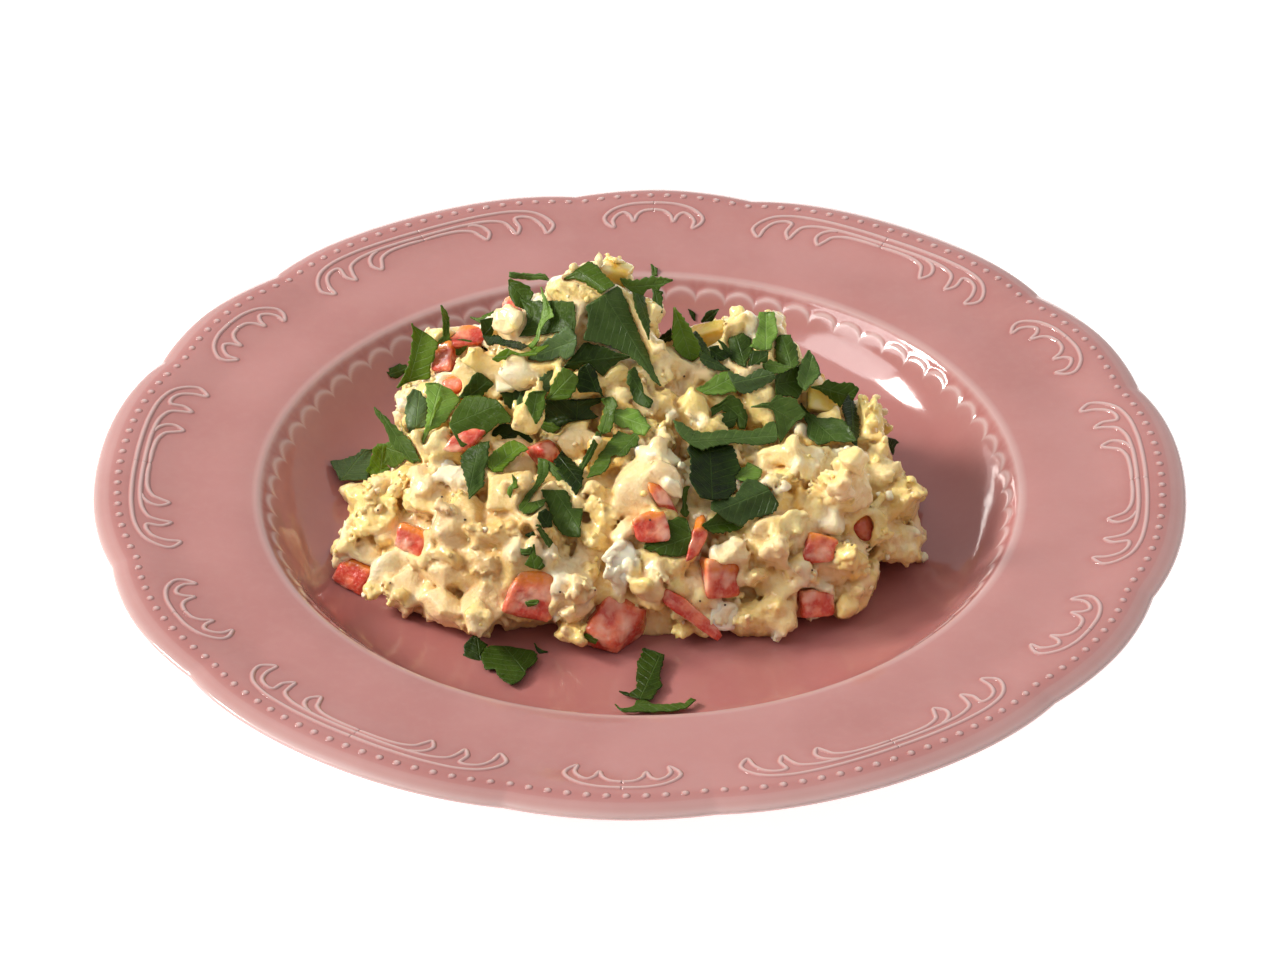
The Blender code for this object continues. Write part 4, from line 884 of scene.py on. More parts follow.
def plate_rows():
    """The rings of the plate: nominal radius and height, points, and the way from the petals' tips."""
    upper = smooth_line(UPPER[1:] + RIM_UPPER + [EDGE] + RIM_LOWER, 0.3)
    under = smooth_line([RIM_LOWER[-1]] + LOWER[:-1], UNDERSIDE_RINGS[0])[1:]
    steps = np.linalg.norm(np.diff(upper, axis=0), axis=1)
    length = np.concatenate([[0.0], np.cumsum(steps)])
    tip = length[np.argmin(np.abs(upper[:, 0] - PETAL_TIP_RADIUS) + (upper[:, 1] < 15) * 50)]
    outer = length[np.argmax(upper[:, 0])]
    rows = [(radius, FLOOR_HEIGHT, MIDDLE_POINTS, None) for radius in MIDDLE_RINGS]
    last = -9.0
    for (radius, height), along in zip(upper, length):
        above = along <= outer
        if above and -1.6 < tip - along < 4.6:
            gap, count = PETAL_RINGS
        elif above and WALL_START < radius < WALL_END:
            gap, count = WALL_RINGS
        elif above and RELIEF_INNER < radius < RELIEF_OUTER:
            gap, count = RELIEF_RINGS
        elif above and radius < WALL_START:
            gap, count = INNER_FLOOR_RINGS if radius < 56 else OUTER_FLOOR_RINGS
        else:
            gap, count = EDGE_RINGS if radius > 130.0 else PLAIN_RINGS
        if along - last < gap and radius != upper[-1][0]:
            continue
        last = along
        rows.append((radius, height, count, tip - along if above else None))
    for radius, height in under:
        rows.append((radius, height, UNDERSIDE_RINGS[1], None))
    return rows


def pooled_rim(radius, bearing):
    """How dark the glaze pools round the scrolls and beads of the rim, for one ring."""
    spots = np.column_stack([bearing[: len(bearing) // LOBES], np.full(len(bearing) // LOBES, radius)])
    least = np.full(len(spots), 99.0)
    for middle, lines in ((RELIEF_MIDDLE, LONG_SCROLL), (RELIEF_MIDDLE - 30.0, SHORT_SCROLL)):
        off = (spots[:, 0] - middle + 30.0) % 60.0 - 30.0
        place = np.column_stack([np.abs(off) * MM_PER_DEGREE, spots[:, 1]])
        for line in lines:
            path = smooth_line(np.abs(np.array(line)) * (MM_PER_DEGREE, 1.0), 0.6)
            gap = np.linalg.norm(place[:, None] - path[None], axis=2).min(1)
            least = np.minimum(least, gap)
    pooled = np.exp(-((least / 1.7) ** 2))
    beads = math.exp(-(((radius - BEAD_RADIUS) / 1.5) ** 2))
    return np.tile(np.maximum(pooled, 0.8 * beads), LOBES)


def ring_detail(radius, height, bearing, down):
    """How far one ring of the plate is raised, and how thin its glaze is."""
    lift = np.zeros(len(bearing))
    thin = np.zeros(len(bearing))
    if down is not None and PETAL_SPAN[0] < down < PETAL_SPAN[1]:
        lift, thin = petal_relief(bearing, np.full(len(bearing), down))
    if down is not None and radius < 110 and height > 5:
        lift = lift + LIP_HEIGHT * math.exp(-(((radius - LIP_RADIUS) / LIP_HALF_WIDTH) ** 2))
        thin = thin + LIP_GLOW * math.exp(-(((radius - LIP_RADIUS - 0.2) / LIP_GLOW_HALF_WIDTH) ** 2))
    if down is not None and RELIEF_INNER < radius < RELIEF_OUTER:
        thin = thin - POOLED * pooled_rim(radius, bearing)
    ring = np.full(len(bearing), radius)
    thin = thin + 0.16 * smooth_step(131.0, 132.6, ring) + 0.3 * smooth_step(133.6, 135.6, ring)
    thin = thin - 0.42 * (1.0 - smooth_step(82.0, 97.0, ring)) * (height > 4)
    return lift, thin


def round_place(reach, bearing, level):
    """Places at a reach from the plate's middle, a bearing in degrees and a level."""
    angle = np.radians(bearing)
    return np.column_stack([reach * np.cos(angle), reach * np.sin(angle), level])


def build_plate():
    """The glazed plate with its lip and the petals pressed into the wall of its well."""
    rows = plate_rows()
    points = [np.array([[0.0, 0.0, FLOOR_HEIGHT]])]
    values = [np.zeros(1)]
    starts, counts = [], []
    total = 1
    for i, (radius, height, count, down) in enumerate(rows):
        bearing = np.arange(count) * 360.0 / count
        before = np.array(rows[max(i - 1, 0)][:2])
        after = np.array(rows[min(i + 1, len(rows) - 1)][:2])
        slope = after - before
        normal = np.array((-slope[1], slope[0])) / max(np.linalg.norm(slope), 1e-6)
        lift, thin = ring_detail(radius, height, bearing, down)
        reach, level = scallop(radius + normal[0] * lift, height + normal[1] * lift, bearing)
        points.append(round_place(reach, bearing, level))
        values.append(thin)
        starts.append(total)
        counts.append(count)
        total += count
    faces = [ring_fan(0, starts[0], counts[0])]
    for i in range(len(rows) - 1):
        faces.append(stitch(starts[i], counts[i], starts[i + 1], counts[i + 1]))
    points.append(np.array([[0.0, 0.0, LOWER[-1][1]]]))
    values.append(np.zeros(1))
    faces.append(ring_fan(total, starts[-1], counts[-1])[:, ::-1])
    thin = {"thin": np.concatenate(values)}
    made = mesh_object("plate_body", np.vstack(points), np.vstack(faces), glaze(), thin)
    place_piece(made, "plate", "plate")
    return made


def ring_fan(middle, start, count):
    """Triangles from a middle point to a ring."""
    near = np.arange(count)
    return np.column_stack([np.full(count, middle), start + near, start + (near + 1) % count])


def stitch(start_a, count_a, start_b, count_b):
    """Triangles between an inner and an outer ring whose counts differ by a power of two, or not at all."""
    few, many = min(count_a, count_b), max(count_a, count_b)
    near = np.arange(few)
    far = (near + 1) % few
    if few == many:
        a, b = start_a + near, start_a + far
        c, d = start_b + near, start_b + far
        return np.vstack([np.column_stack([a, c, d]), np.column_stack([a, d, b])])
    parts = many // few
    steps = int(round(math.log2(parts)))
    if steps != math.log2(parts):
        raise ValueError("rings must differ by a power of two")
    wide, narrow = (start_b, start_a) if count_b > count_a else (start_a, start_b)
    made = []
    for k in range(parts // 2):
        made.append(np.column_stack([narrow + near, wide + parts * near + k, wide + parts * near + k + 1]))
    made.append(np.column_stack([narrow + near, wide + parts * near + parts // 2, narrow + far]))
    for k in range(parts // 2, parts):
        after = wide + (parts * near + k + 1) % many
        made.append(np.column_stack([narrow + far, wide + parts * near + k, after]))
    made = np.vstack(made)
    return made if count_b > count_a else made[:, ::-1]


def rim_place(bearing, radius, lift):
    """Places on the rim's upper face at bearings in degrees, raised by a lift."""
    line = smooth_line(UPPER[-2:] + RIM_UPPER + [EDGE], 0.3)
    height = np.interp(radius, *line.T)
    outer, inner = np.interp(radius + 0.5, *line.T), np.interp(radius - 0.5, *line.T)
    slope = outer - inner
    size = np.hypot(slope, 1.0)
    reach, level = scallop(radius - slope / size * lift, height + lift / size, bearing)
    return round_place(reach, bearing, level)


def build_beads(finish):
    """The ring of beads along the rim."""
    points, faces, thin = [], [], []
    turn = 2 * math.pi * np.arange(BEAD_SIDES) / BEAD_SIDES
    near = np.arange(BEAD_SIDES)
    far = (near + 1) % BEAD_SIDES
    for i in range(BEADS):
        bearing = i * 360.0 / BEADS + BEAD_TURN
        radius = BEAD_RADIUS - 0.3 * float(outline_inset(np.array(bearing)))
        start = len(thin)
        for share, rise in BEAD_LEVELS:
            off = BEAD_SIZE * share
            bearings = bearing + np.degrees(off * np.cos(turn) / radius)
            points.append(rim_place(bearings, radius + off * np.sin(turn), BEAD_HEIGHT * rise))
            thin += [smooth_pale(rise)] * BEAD_SIDES
        points.append(rim_place(np.array([bearing]), np.array([radius]), BEAD_HEIGHT))
        thin.append(1.0)
        for k in range(len(BEAD_LEVELS) - 1):
            a = start + k * BEAD_SIDES
            b = a + BEAD_SIDES
            faces.append(np.column_stack([a + near, b + near, b + far]))
            faces.append(np.column_stack([a + near, b + far, a + far]))
        top = start + (len(BEAD_LEVELS) - 1) * BEAD_SIDES
        faces.append(np.column_stack([top + near, np.full(BEAD_SIDES, top + BEAD_SIDES), top + far]))
        first = np.full(BEAD_SIDES - 2, start)
        faces.append(np.column_stack([start + near[1:-1], start + far[1:-1], first]))
    values = {"thin": np.array(thin)}
    made = mesh_object("plate_beads", np.vstack(points), np.vstack(faces), finish, values)
    place_piece(made, "plate", "plate")


def smooth_pale(rise):
    """How pale the glaze is at this share of a raised detail's height."""
    return float(smooth_step(0.0, 1.0, rise)) * RELIEF_PALE - 0.15


def grid_quads(grid):
    """The four-sided faces of a grid of point numbers."""
    corners = (grid[:-1, :-1], grid[1:, :-1], grid[1:, 1:], grid[:-1, 1:])
    return np.stack(corners, -1).reshape(-1, 4)


def build_scrolls(finish):
    """The thin raised scrolls on the rim, long ones and short ones in turn."""
    points, faces, thin = [], [], []
    total = 0
    width = len(LINE_SHAPE)
    for number in range(LOBES):
        for middle, lines in ((RELIEF_MIDDLE, LONG_SCROLL), (RELIEF_MIDDLE - 30.0, SHORT_SCROLL)):
            middle = middle + number * 360.0 / LOBES
            for line in lines:
                half = smooth_line(np.array(line, float) * (MM_PER_DEGREE, 1.0), LINE_SPACING)
                closed = abs(half[-1, 0]) < 1e-6 and abs(half[0, 0]) < 1e-6
                for path in (half, half[::-1] * (-1, 1)):
                    rows = scroll_rows(path, middle, 0.0 if closed else 1.0)
                    points.append(np.vstack(rows))
                    thin += [smooth_pale(rise) for _, rise in LINE_SHAPE] * len(rows)
                    grid = total + np.arange(len(rows) * width).reshape(len(rows), width)
                    faces.append(grid_quads(grid))
                    faces.append(grid_quads(grid[:, [-1, 0]]))
                    total += grid.size
    values = {"thin": np.array(thin)}
    made = mesh_object("plate_scrolls", np.vstack(points), np.vstack(faces), finish, values)
    turn_outward(made)
    place_piece(made, "plate", "plate")


def scroll_rows(path, middle, tapered):
    """Cross sections of one raised line along a path over the rim."""
    steps = np.gradient(path, axis=0)
    steps /= np.linalg.norm(steps, axis=1, keepdims=True)
    side = np.column_stack([-steps[:, 1], steps[:, 0]])
    rows = []
    for i in range(len(path)):
        near_end = min(i, len(path) - 1 - i) * LINE_SPACING
        size = 1.0 - 0.45 * tapered * math.exp(-near_end / 1.2)
        spots = np.array([path[i] + side[i] * LINE_HALF_WIDTH * across * size for across, _ in LINE_SHAPE])
        lifts = np.array([LINE_HEIGHT * rise * size for _, rise in LINE_SHAPE])
        rows.append(rim_place(middle + np.degrees(spots[:, 0] / SCROLL_RADIUS), spots[:, 1], lifts))
    return rows


def set_camera():
    """The camera at the photograph's place."""
    data = bpy.data.cameras.new("camera")
    data.sensor_fit = "HORIZONTAL"
    data.sensor_width = SENSOR_WIDTH
    data.lens = FOCAL_PIXELS * SENSOR_WIDTH / IMAGE_WIDTH
    data.clip_start = 0.05
    data.clip_end = 50.0
    camera = bpy.data.objects.new("camera", data)
    camera.matrix_world = Matrix.Translation(Vector(CAMERA_PLACE) * MM) @ camera_turn().to_4x4()
    bpy.context.scene.collection.objects.link(camera)
    bpy.context.scene.camera = camera


def add_light(name, place, size, power, colour):
    """A soft light with a rectangular face, placed in metres."""
    data = bpy.data.lights.new(name, "AREA")
    data.shape = "RECTANGLE"
    data.size = size[0]
    data.size_y = size[1]
    data.energy = power
    data.color = colour
    light = bpy.data.objects.new(name, data)
    place = Vector(place)
    turn = (Vector(LAMP_AIM) - place).to_track_quat("-Z", "Y").to_matrix().to_4x4()
    light.matrix_world = Matrix.Translation(place) @ turn
    bpy.context.scene.collection.objects.link(light)


def set_light():
    """A white room with a small bright lamp far to the left, a larger one beside it and a wide one above."""
    scene = bpy.context.scene
    scene.view_settings.view_transform = "Standard"
    scene.view_settings.look = "None"
    world = bpy.data.worlds.new("room")
    world.use_nodes = True
    tree = world.node_tree
    where = tree.nodes.new("ShaderNodeTexCoord")
    lean = tree.nodes.new("ShaderNodeVectorMath")
    lean.operation = "DOT_PRODUCT"
    lean.inputs[1].default_value = ROOM_LEAN
    tree.links.new(where.outputs["Generated"], lean.inputs[0])
    level = tree.nodes.new("ShaderNodeMath")
    level.operation = "ADD"
    level.inputs[1].default_value = ROOM_LEVEL
    tree.links.new(lean.outputs["Value"], level.inputs[0])
    sky = tree.nodes["Background"]
    sky.inputs["Color"].default_value = (1.0, 1.0, 1.0, 1.0)
    tree.links.new(level.outputs[0], sky.inputs["Strength"])
    scene.world = world
    for lamp in LAMPS:
        add_light(*lamp)


def build_floor():
    """A wide pale floor that glows a little, like a table for packshots."""
    points = [(x * FLOOR_HALF, y * FLOOR_HALF, 0) for x, y in ((-1, -1), (1, -1), (1, 1), (-1, 1))]
    finish = Finish("floor", 0.9)
    finish.link(finish.mix(finish.noise(80.0), *FLOOR_SHADES), "Base Color")
    finish.set(Specular_IOR_Level=0.0, Emission_Color=(1.0, 1.0, 1.0, 1.0), Emission_Strength=FLOOR_GLOW)
    floor = mesh_object("floor", points, [(0, 1, 2, 3)], finish.material)


def view_toward(place):
    """The direction from a place to the camera."""
    way = np.array(CAMERA_PLACE) - place
    return way / np.linalg.norm(way)


def leaf_plane(node):
    """The middle of a leaf's solid and the way it faces, turned to the camera if it is nearly on edge."""
    spots = mesh_points(frame["nodes"][node].data)
    middle = spots.mean(0)
    normal = np.linalg.svd(spots - middle, full_matrices=False)[2][2]
    toward = view_toward(middle)
    normal = normal * np.sign(normal @ toward)
    while normal @ toward < LEAST_FACING:
        normal = normal + 0.1 * toward
        normal /= np.linalg.norm(normal)
    return middle, normal


def on_plane(outline, middle, normal):
    """An outline of the photograph laid on a plane."""
    start = np.array(CAMERA_PLACE)
    rays = np.array([picture_ray(column, row) for column, row in outline])
    return start + rays * (((middle - start) @ normal) / (rays @ normal))[:, None]


def span_across(flat, stations):
    """The lowest and highest side of a flat outline at places along it."""
    low = np.full(len(stations), np.inf)
    high = -low
    for first, last in zip(flat, np.roll(flat, -1, axis=0)):
        length = last[0] - first[0]
        if abs(length) < 1e-6:
            continue
        inside = (stations - first[0]) * (stations - last[0]) <= 0
        side = first[1] + (last[1] - first[1]) * (stations - first[0]) / length
        low = np.where(inside, np.minimum(low, side), low)
        high = np.where(inside, np.maximum(high, side), high)
    return low, high


def filled_area(corners, along, normal):
    """The area that rows straight across an axis fill in an outline on a plane."""
    centre = corners.mean(0)
    flat = np.column_stack([(corners - centre) @ along, (corners - centre) @ np.cross(normal, along)])
    stations = np.linspace(flat[:, 0].min() + 0.05, flat[:, 0].max() - 0.05, 80)
    low, high = span_across(flat, stations)
    return float((high - low).sum()) * (stations[1] - stations[0])


def best_axis(corners, normal):
    """The way along an outline on a plane: its long axis, or one that keeps the lobes that this fills."""
    centre = corners.mean(0)
    first = np.linalg.svd(corners - centre, full_matrices=False)[2][0]
    first -= (first @ normal) * normal
    first /= np.linalg.norm(first)
    second = np.cross(normal, first)
    ways = [first * math.cos(turn) + second * math.sin(turn) for turn in np.radians(np.arange(0, 180, 7.5))]
    areas = [filled_area(corners, along, normal) for along in ways]
    return ways[int(np.argmin(areas))] if min(areas) < 0.95 * areas[0] else first


def leaf_sheet(outline, middle, normal, spacing, calm, rng):
    """A leaf as a grid of points that fills its outline, and each point's place across and along it."""
    corners = on_plane(outline, middle, normal)
    centre = corners.mean(0)
    along = best_axis(corners, normal)
    side = np.cross(normal, along)
    flat = np.column_stack([(corners - centre) @ along, (corners - centre) @ side])
    length, width = np.ptp(flat, axis=0)
    first, last = flat[:, 0].min() + 0.06, flat[:, 0].max() - 0.06
    stations = np.linspace(first, last, max(8, int(length / spacing)))
    low, high = span_across(flat, stations)
    wide = np.maximum(high - low, 0.22)
    middle_line = 0.5 * (low + high)
    ragged = 0.08 * wide.clip(0, 3)[:, None] * rng.normal(0, 1, (len(stations), 2)).clip(-1, 1)
    edge = np.linspace(-1.0, 1.0, max(5, int(width / spacing) | 1))[None, :]
    across = middle_line[:, None] + 0.5 * wide[:, None] * edge
    across = across + np.where(edge < 0, ragged[:, :1], ragged[:, 1:]) * edge**4
    run = np.repeat(stations[:, None], edge.shape[1], axis=1)
    share = (run - first) / (last - first)
    bent = 2.0 * share - 1.0
    rib = across - rng.uniform(-0.15, 0.15) * width - rng.uniform(-0.2, 0.2) * run
    lift = -calm * rng.choice(RIB_FOLDS) * rng.uniform(0.6, 1.3) * (np.sqrt(rib**2 + 0.2) - 0.45)
    lift = lift + calm * rng.uniform(*TWIST) * bent * across
    lift = lift + calm * rng.uniform(*BOW) * length * bent**2
    lift = lift + calm * rng.uniform(*CUP) * width * (across / (0.5 * width)) ** 2
    wave = rng.uniform(5, 9) * share + edge * rng.uniform(1, 2.5) + rng.uniform(0, 6)
    lift = lift + calm * rng.uniform(*RIPPLE) * np.sin(wave) * smooth_step(0, 0.5, np.abs(edge))
    toward = view_toward(middle)
    points = centre + along * run[..., None] + side * across[..., None] + toward * lift[..., None]
    return points, rib, run


def two_faces(sheet, toward, thickness, seed):
    """The upper and lower face of a thin leaf round its middle."""
    facing = np.cross(np.gradient(sheet, axis=1), np.gradient(sheet, axis=0))
    facing /= np.maximum(np.linalg.norm(facing, axis=-1, keepdims=True), 1e-9)
    facing *= np.sign((facing @ toward).sum())
    puff = 0.07 * lattice_noise(sheet, 1.7, seed)
    top = sheet + facing * (0.5 * thickness + puff)[..., None]
    under = sheet - facing * (0.5 * thickness - puff)[..., None]
    return top, under


def leaf_values(rib, run, number, light, warm):
    """What a leaf's finish reads from its mesh, for both faces."""
    size = rib.size
    return {
        "across": np.tile(rib.ravel(), 2),
        "along": np.tile(run.ravel(), 2) + number,
        "light": np.full(2 * size, light),
        "warm": np.full(2 * size, warm),
        "side": np.repeat([1.0, 0.0], size),
    }


def build_leaf(shape, number, finish):
    """One chopped leaf as a thin wavy sheet."""
    light, warm, outline = shape
    node = f"parsley_{number:02d}"
    middle, normal = leaf_plane(node)
    rng = np.random.default_rng(500 + number)
    calm = CALM_ON_PLATE if number > HEAP_LEAVES else 1.0
    sheet, rib, run = leaf_sheet(outline, middle, normal, LEAF_SPACING, calm, rng)
    lowest = plate_height(sheet[..., 0], sheet[..., 1]) + LEAF_CLEARANCE
    sheet[..., 2] = np.maximum(sheet[..., 2], lowest)
    sheet[..., 2] = np.minimum(sheet[..., 2], TALLEST + 0.5)
    top, under = two_faces(sheet, view_toward(middle), SHEET_THICKNESS, 90 + number)
    points = np.vstack([top.reshape(-1, 3), under.reshape(-1, 3)])
    values = leaf_values(rib, run, number, light, warm)
    made = mesh_object(f"leaf_{number:02d}", points, sheet_faces(*rib.shape, 0), finish, values)
    turn_outward(made)
    place_piece(made, "parsley", node)
    return made, top, under


def sheet_faces(rows, columns, start):
    """The faces of a thin sheet whose upper grid of points is followed by its lower one."""
    grid = np.arange(rows * columns).reshape(rows, columns)
    upper = grid_quads(grid)
    rim = np.concatenate([grid[0, :-1], grid[:-1, -1], grid[-1, :0:-1], grid[:0:-1, 0]])
    after = np.roll(rim, -1)
    size = rows * columns
    walls = np.column_stack([rim, after, size + after, size + rim])
    return start + np.vstack([upper, size + upper[:, ::-1], walls])


def turn_outward(thing):
    """Close the open ends of a mesh and turn its faces outward."""
    work = bmesh.new()
    work.from_mesh(thing.data)
    bmesh.ops.holes_fill(work, edges=[e for e in work.edges if e.is_boundary], sides=16)
    bmesh.ops.recalc_face_normals(work, faces=work.faces)
    for face in work.faces:
        face.smooth = True
    work.to_mesh(thing.data)
    work.free()


def leaf_finish():
    """Dark glossy green leaf, paler leaf by leaf as painted light, yellower where light shining through it
    is painted and greyer where a sheen is painted, with fine paler veins and a matt underside.
    """
    made = Finish("parsley_leaf", 0.34)
    away = made.math("ABSOLUTE", made.value("across"))
    slant = made.math("SUBTRACT", made.value("along"), made.math("MULTIPLY", away, 0.8))
    slant = made.math("ADD", slant, made.math("MULTIPLY", made.noise(4.0), 1.2))
    turn = made.math("FRACT", made.math("DIVIDE", slant, BRANCH_PITCH))
    gap = made.math("ABSOLUTE", made.math("SUBTRACT", turn, 0.5))
    rib = made.ramp(away, 0.2, 0.06)
    branch = made.ramp(gap, 0.09, 0.03, 0.0, 0.6)
    lace = made.math("ABSOLUTE", made.math("SUBTRACT", made.noise(1.6, 1.0), 0.5))
    net = made.ramp(lace, 0.02, 0.0, 0.0, 0.3)
    vein = made.math("MAXIMUM", rib, made.math("MAXIMUM", branch, net))
    patch = made.ramp(made.noise(3.5, 3.0), 0.3, 0.7)
    light = made.value("light")
    warm = made.ramp(made.value("warm"), 0.0, 1.0)
    cold = made.ramp(made.value("warm"), 0.0, -1.0)
    # Painted light and shade: each leaf's shaded and lit green, mixed by its painted light value, then
    # tinted yellow for painted light through it and grey for a painted sheen.
    dark = made.mix(patch, *LEAF_SHADED)
    pale = made.mix(patch, *LEAF_LIT)
    base = made.mix(light, dark, pale)
    yellow = made.mix(light, *LEAF_YELLOW_LIT_THROUGH)
    grey = made.mix(light, *LEAF_GREY_SHEEN)
    base = made.mix(made.math("MULTIPLY", warm, 0.8), base, yellow)
    base = made.mix(made.math("MULTIPLY", cold, 0.75), base, grey)
    bright = made.mix(light, *LEAF_VEIN)
    base = made.mix(made.math("MULTIPLY", vein, 0.55), base, bright)
    base = made.mix(made.ramp(made.value("side"), 1.0, 0.0, 0.0, 0.4), base, LEAF_UNDERSIDE)
    made.link(base, "Base Color")
    made.link(made.ramp(patch, 0.0, 1.0, 0.26, 0.4), "Roughness")
    made.set(Subsurface_Weight=0.15, Subsurface_Scale=0.0006, Subsurface_Radius=(0.45, 1.0, 0.12), IOR=1.4)
    made.set(Specular_IOR_Level=0.17)
    made.bump(made.math("SUBTRACT", made.noise(0.9, 2.0), made.math("MULTIPLY", vein, 0.8)), 0.16)
    return made.material


class Grid:
    """A sampled field of distances in millimetres round the salad."""

    def __init__(self):
        self.low = GRID_LOW
        self.shape = tuple(np.ceil((GRID_HIGH - GRID_LOW) / CELL).astype(int) + 1)
        self.axes = [self.low[i] + CELL * np.arange(self.shape[i], dtype=np.float32) for i in range(3)]
        self.x, self.y = np.meshgrid(self.axes[0], self.axes[1], indexing="ij")
        self.height = self.axes[2][None, None, :]
        self.field = self.bare_field()
        self.owner = np.zeros(self.shape, np.int16)
        self.keep_off = np.zeros(self.shape, np.float32)

    def bare_field(self):
        """The field of the bare heap, sunk by the depth that its pieces take up."""
        top = heap_height(self.x, self.y)
        slope = np.hypot(*np.gradient(top, CELL))
        steep = 1.0 / np.sqrt(1.0 + np.minimum(slope, 3.0) ** 2)
        return ((self.height - top[..., None]) * steep[..., None] + CORE_DEPTH).astype(np.float32)

    def window(self, middle, reach):
        """The slices of the cells within a reach of a place, and their points."""
        first = np.maximum(np.floor((middle - reach - self.low) / CELL).astype(int), 0)
        last = np.minimum(np.ceil((middle + reach - self.low) / CELL).astype(int) + 1, self.shape)
        spans = tuple(slice(a, b) for a, b in zip(first, last))
        mesh = np.meshgrid(*[self.axes[i][spans[i]] for i in range(3)], indexing="ij")
        return spans, np.stack(mesh, -1)

    def add(self, body, number, shrink, blend):
        """Join a body to the field with a smooth hollow between them."""
        spans, points = self.window(body["middle"], body["reach"] + blend)
        if min(points.shape[:3]) < 2:
            return
        distance = body_distance(points, body) + shrink
        old = self.field[spans]
        share = np.clip(0.5 + 0.5 * (old - distance) / blend, 0.0, 1.0)
        self.owner[spans] = np.where(distance < old, number, self.owner[spans])
        self.field[spans] = old * (1 - share) + distance * share - blend * share * (1 - share)

    def mark(self, points):
        """Mark the cells nearest to some points as ones to keep clear."""
        spot = np.rint((points - self.low) / CELL).astype(int)
        good = np.all((spot >= 1) & (spot < np.array(self.shape) - 1), axis=1)
        spot = spot[good]
        self.keep_off[spot[:, 0], spot[:, 1], spot[:, 2]] = 1.0

    def nearest(self, values, points):
        """The values of the cells nearest to some points."""
        spot = np.rint((np.atleast_2d(points) - self.low) / CELL).astype(int)
        spot = np.clip(spot, 0, np.array(self.shape) - 1)
        return values[spot[:, 0], spot[:, 1], spot[:, 2]]

    def skin(self):
        """Places on the outside of the field, and the way it faces there."""
        spot = np.argwhere(np.abs(self.field[1:-1, 1:-1, 1:-1]) < 0.45 * CELL) + 1
        i, j, k = spot.T
        facing = np.stack(
            [
                self.field[i + 1, j, k] - self.field[i - 1, j, k],
                self.field[i, j + 1, k] - self.field[i, j - 1, k],
                self.field[i, j, k + 1] - self.field[i, j, k - 1],
            ],
            -1,
        )
        facing = facing / np.maximum(np.linalg.norm(facing, axis=1, keepdims=True), 1e-6)
        return self.low + CELL * spot, facing


def band_noise(shape, waves, seed):
    """Even noise without a direction: one field with a spread of one for each wave length."""
    rng = np.random.default_rng(seed)
    cloud = np.fft.rfftn(rng.standard_normal(shape).astype(np.float32)).astype(np.complex64)
    x = np.fft.fftfreq(shape[0], CELL)[:, None, None]
    y = np.fft.fftfreq(shape[1], CELL)[None, :, None]
    z = np.fft.rfftfreq(shape[2], CELL)[None, None, :]
    pitch = np.sqrt(x * x + y * y + z * z).astype(np.float32)
    made = []
    for wave in waves:
        field = np.fft.irfftn(cloud * np.exp(-(((pitch * wave - 1.0) / 0.42) ** 2)), shape)
        made.append((field / field.std()).astype(np.float32))
    return made


def blur(values, cells, rounds):
    """Values averaged over a span of cells along each axis."""
    for _ in range(rounds):
        for axis in range(3):
            total = np.zeros_like(values)
            for step in range(-cells, cells + 1):
                total += np.roll(values, step, axis)
            values = total / (2 * cells + 1)
    return values


def spin(normal, turn, tilt):
    """A turn that stands a piece on a surface with its first side to the right, as a matrix."""
    normal = np.asarray(normal, float) / np.linalg.norm(normal)
    right = np.array((1.0, 0.0, 0.0)) - normal[0] * normal
    right /= np.linalg.norm(right)
    frame = Matrix(np.column_stack([right, np.cross(normal, right), normal]).tolist())
    return np.array(frame @ Matrix.Rotation(turn, 3, "Z") @ Matrix.Rotation(tilt, 3, "Y"))


def facets(shape, rng):
    """The faces of a piece in a unit box, as directions and distances from its middle."""
    if shape in ("dice", "kernel"):
        normals = np.array(BOX_FACES, float)
        offsets = np.full(len(BOX_FACES), BOX_OUT)
        wobble = BOX_TURN
    elif shape in ("slab", "shred"):
        turn = np.arange(SLAB_SIDES) * 2 * math.pi / SLAB_SIDES + rng.uniform(0, 1)
        sides = np.column_stack([np.cos(turn), np.sin(turn), np.zeros(SLAB_SIDES)])
        normals = np.vstack([sides, [(0, 0, 1), (0, 0, -1)]])
        offsets = np.concatenate([np.full(SLAB_SIDES, SLAB_OUT), [SLAB_HALF, SLAB_HALF]])
        wobble = SLAB_TURN
    else:
        z = 1 - 2 * (np.arange(LUMP_FACES) + 0.5) / LUMP_FACES
        turn = GOLDEN_TURN * np.arange(LUMP_FACES) + rng.uniform(0, 6)
        flat = np.sqrt(1 - z * z)
        normals = np.column_stack([flat * np.cos(turn), flat * np.sin(turn), z])
        offsets = np.full(LUMP_FACES, LUMP_OUT)
        wobble = LUMP_TURN
    normals = normals + rng.normal(0, wobble, normals.shape)
    normals /= np.linalg.norm(normals, axis=1, keepdims=True)
    return normals, offsets * rng.uniform(*OUT_SPREAD, len(offsets))


def body_distance(points, body):
    """About how far points lie from a body, negative inside."""
    local = (points - body["middle"]) @ body["spin"]
    soft = body["soft"]
    total = np.zeros(local.shape[:-1], np.float32)
    for normal, offset in zip(body["normals"], body["offsets"]):
        total += np.exp(np.minimum((local @ normal - offset) / soft, 40.0)).astype(np.float32)
    return soft * np.log(total)


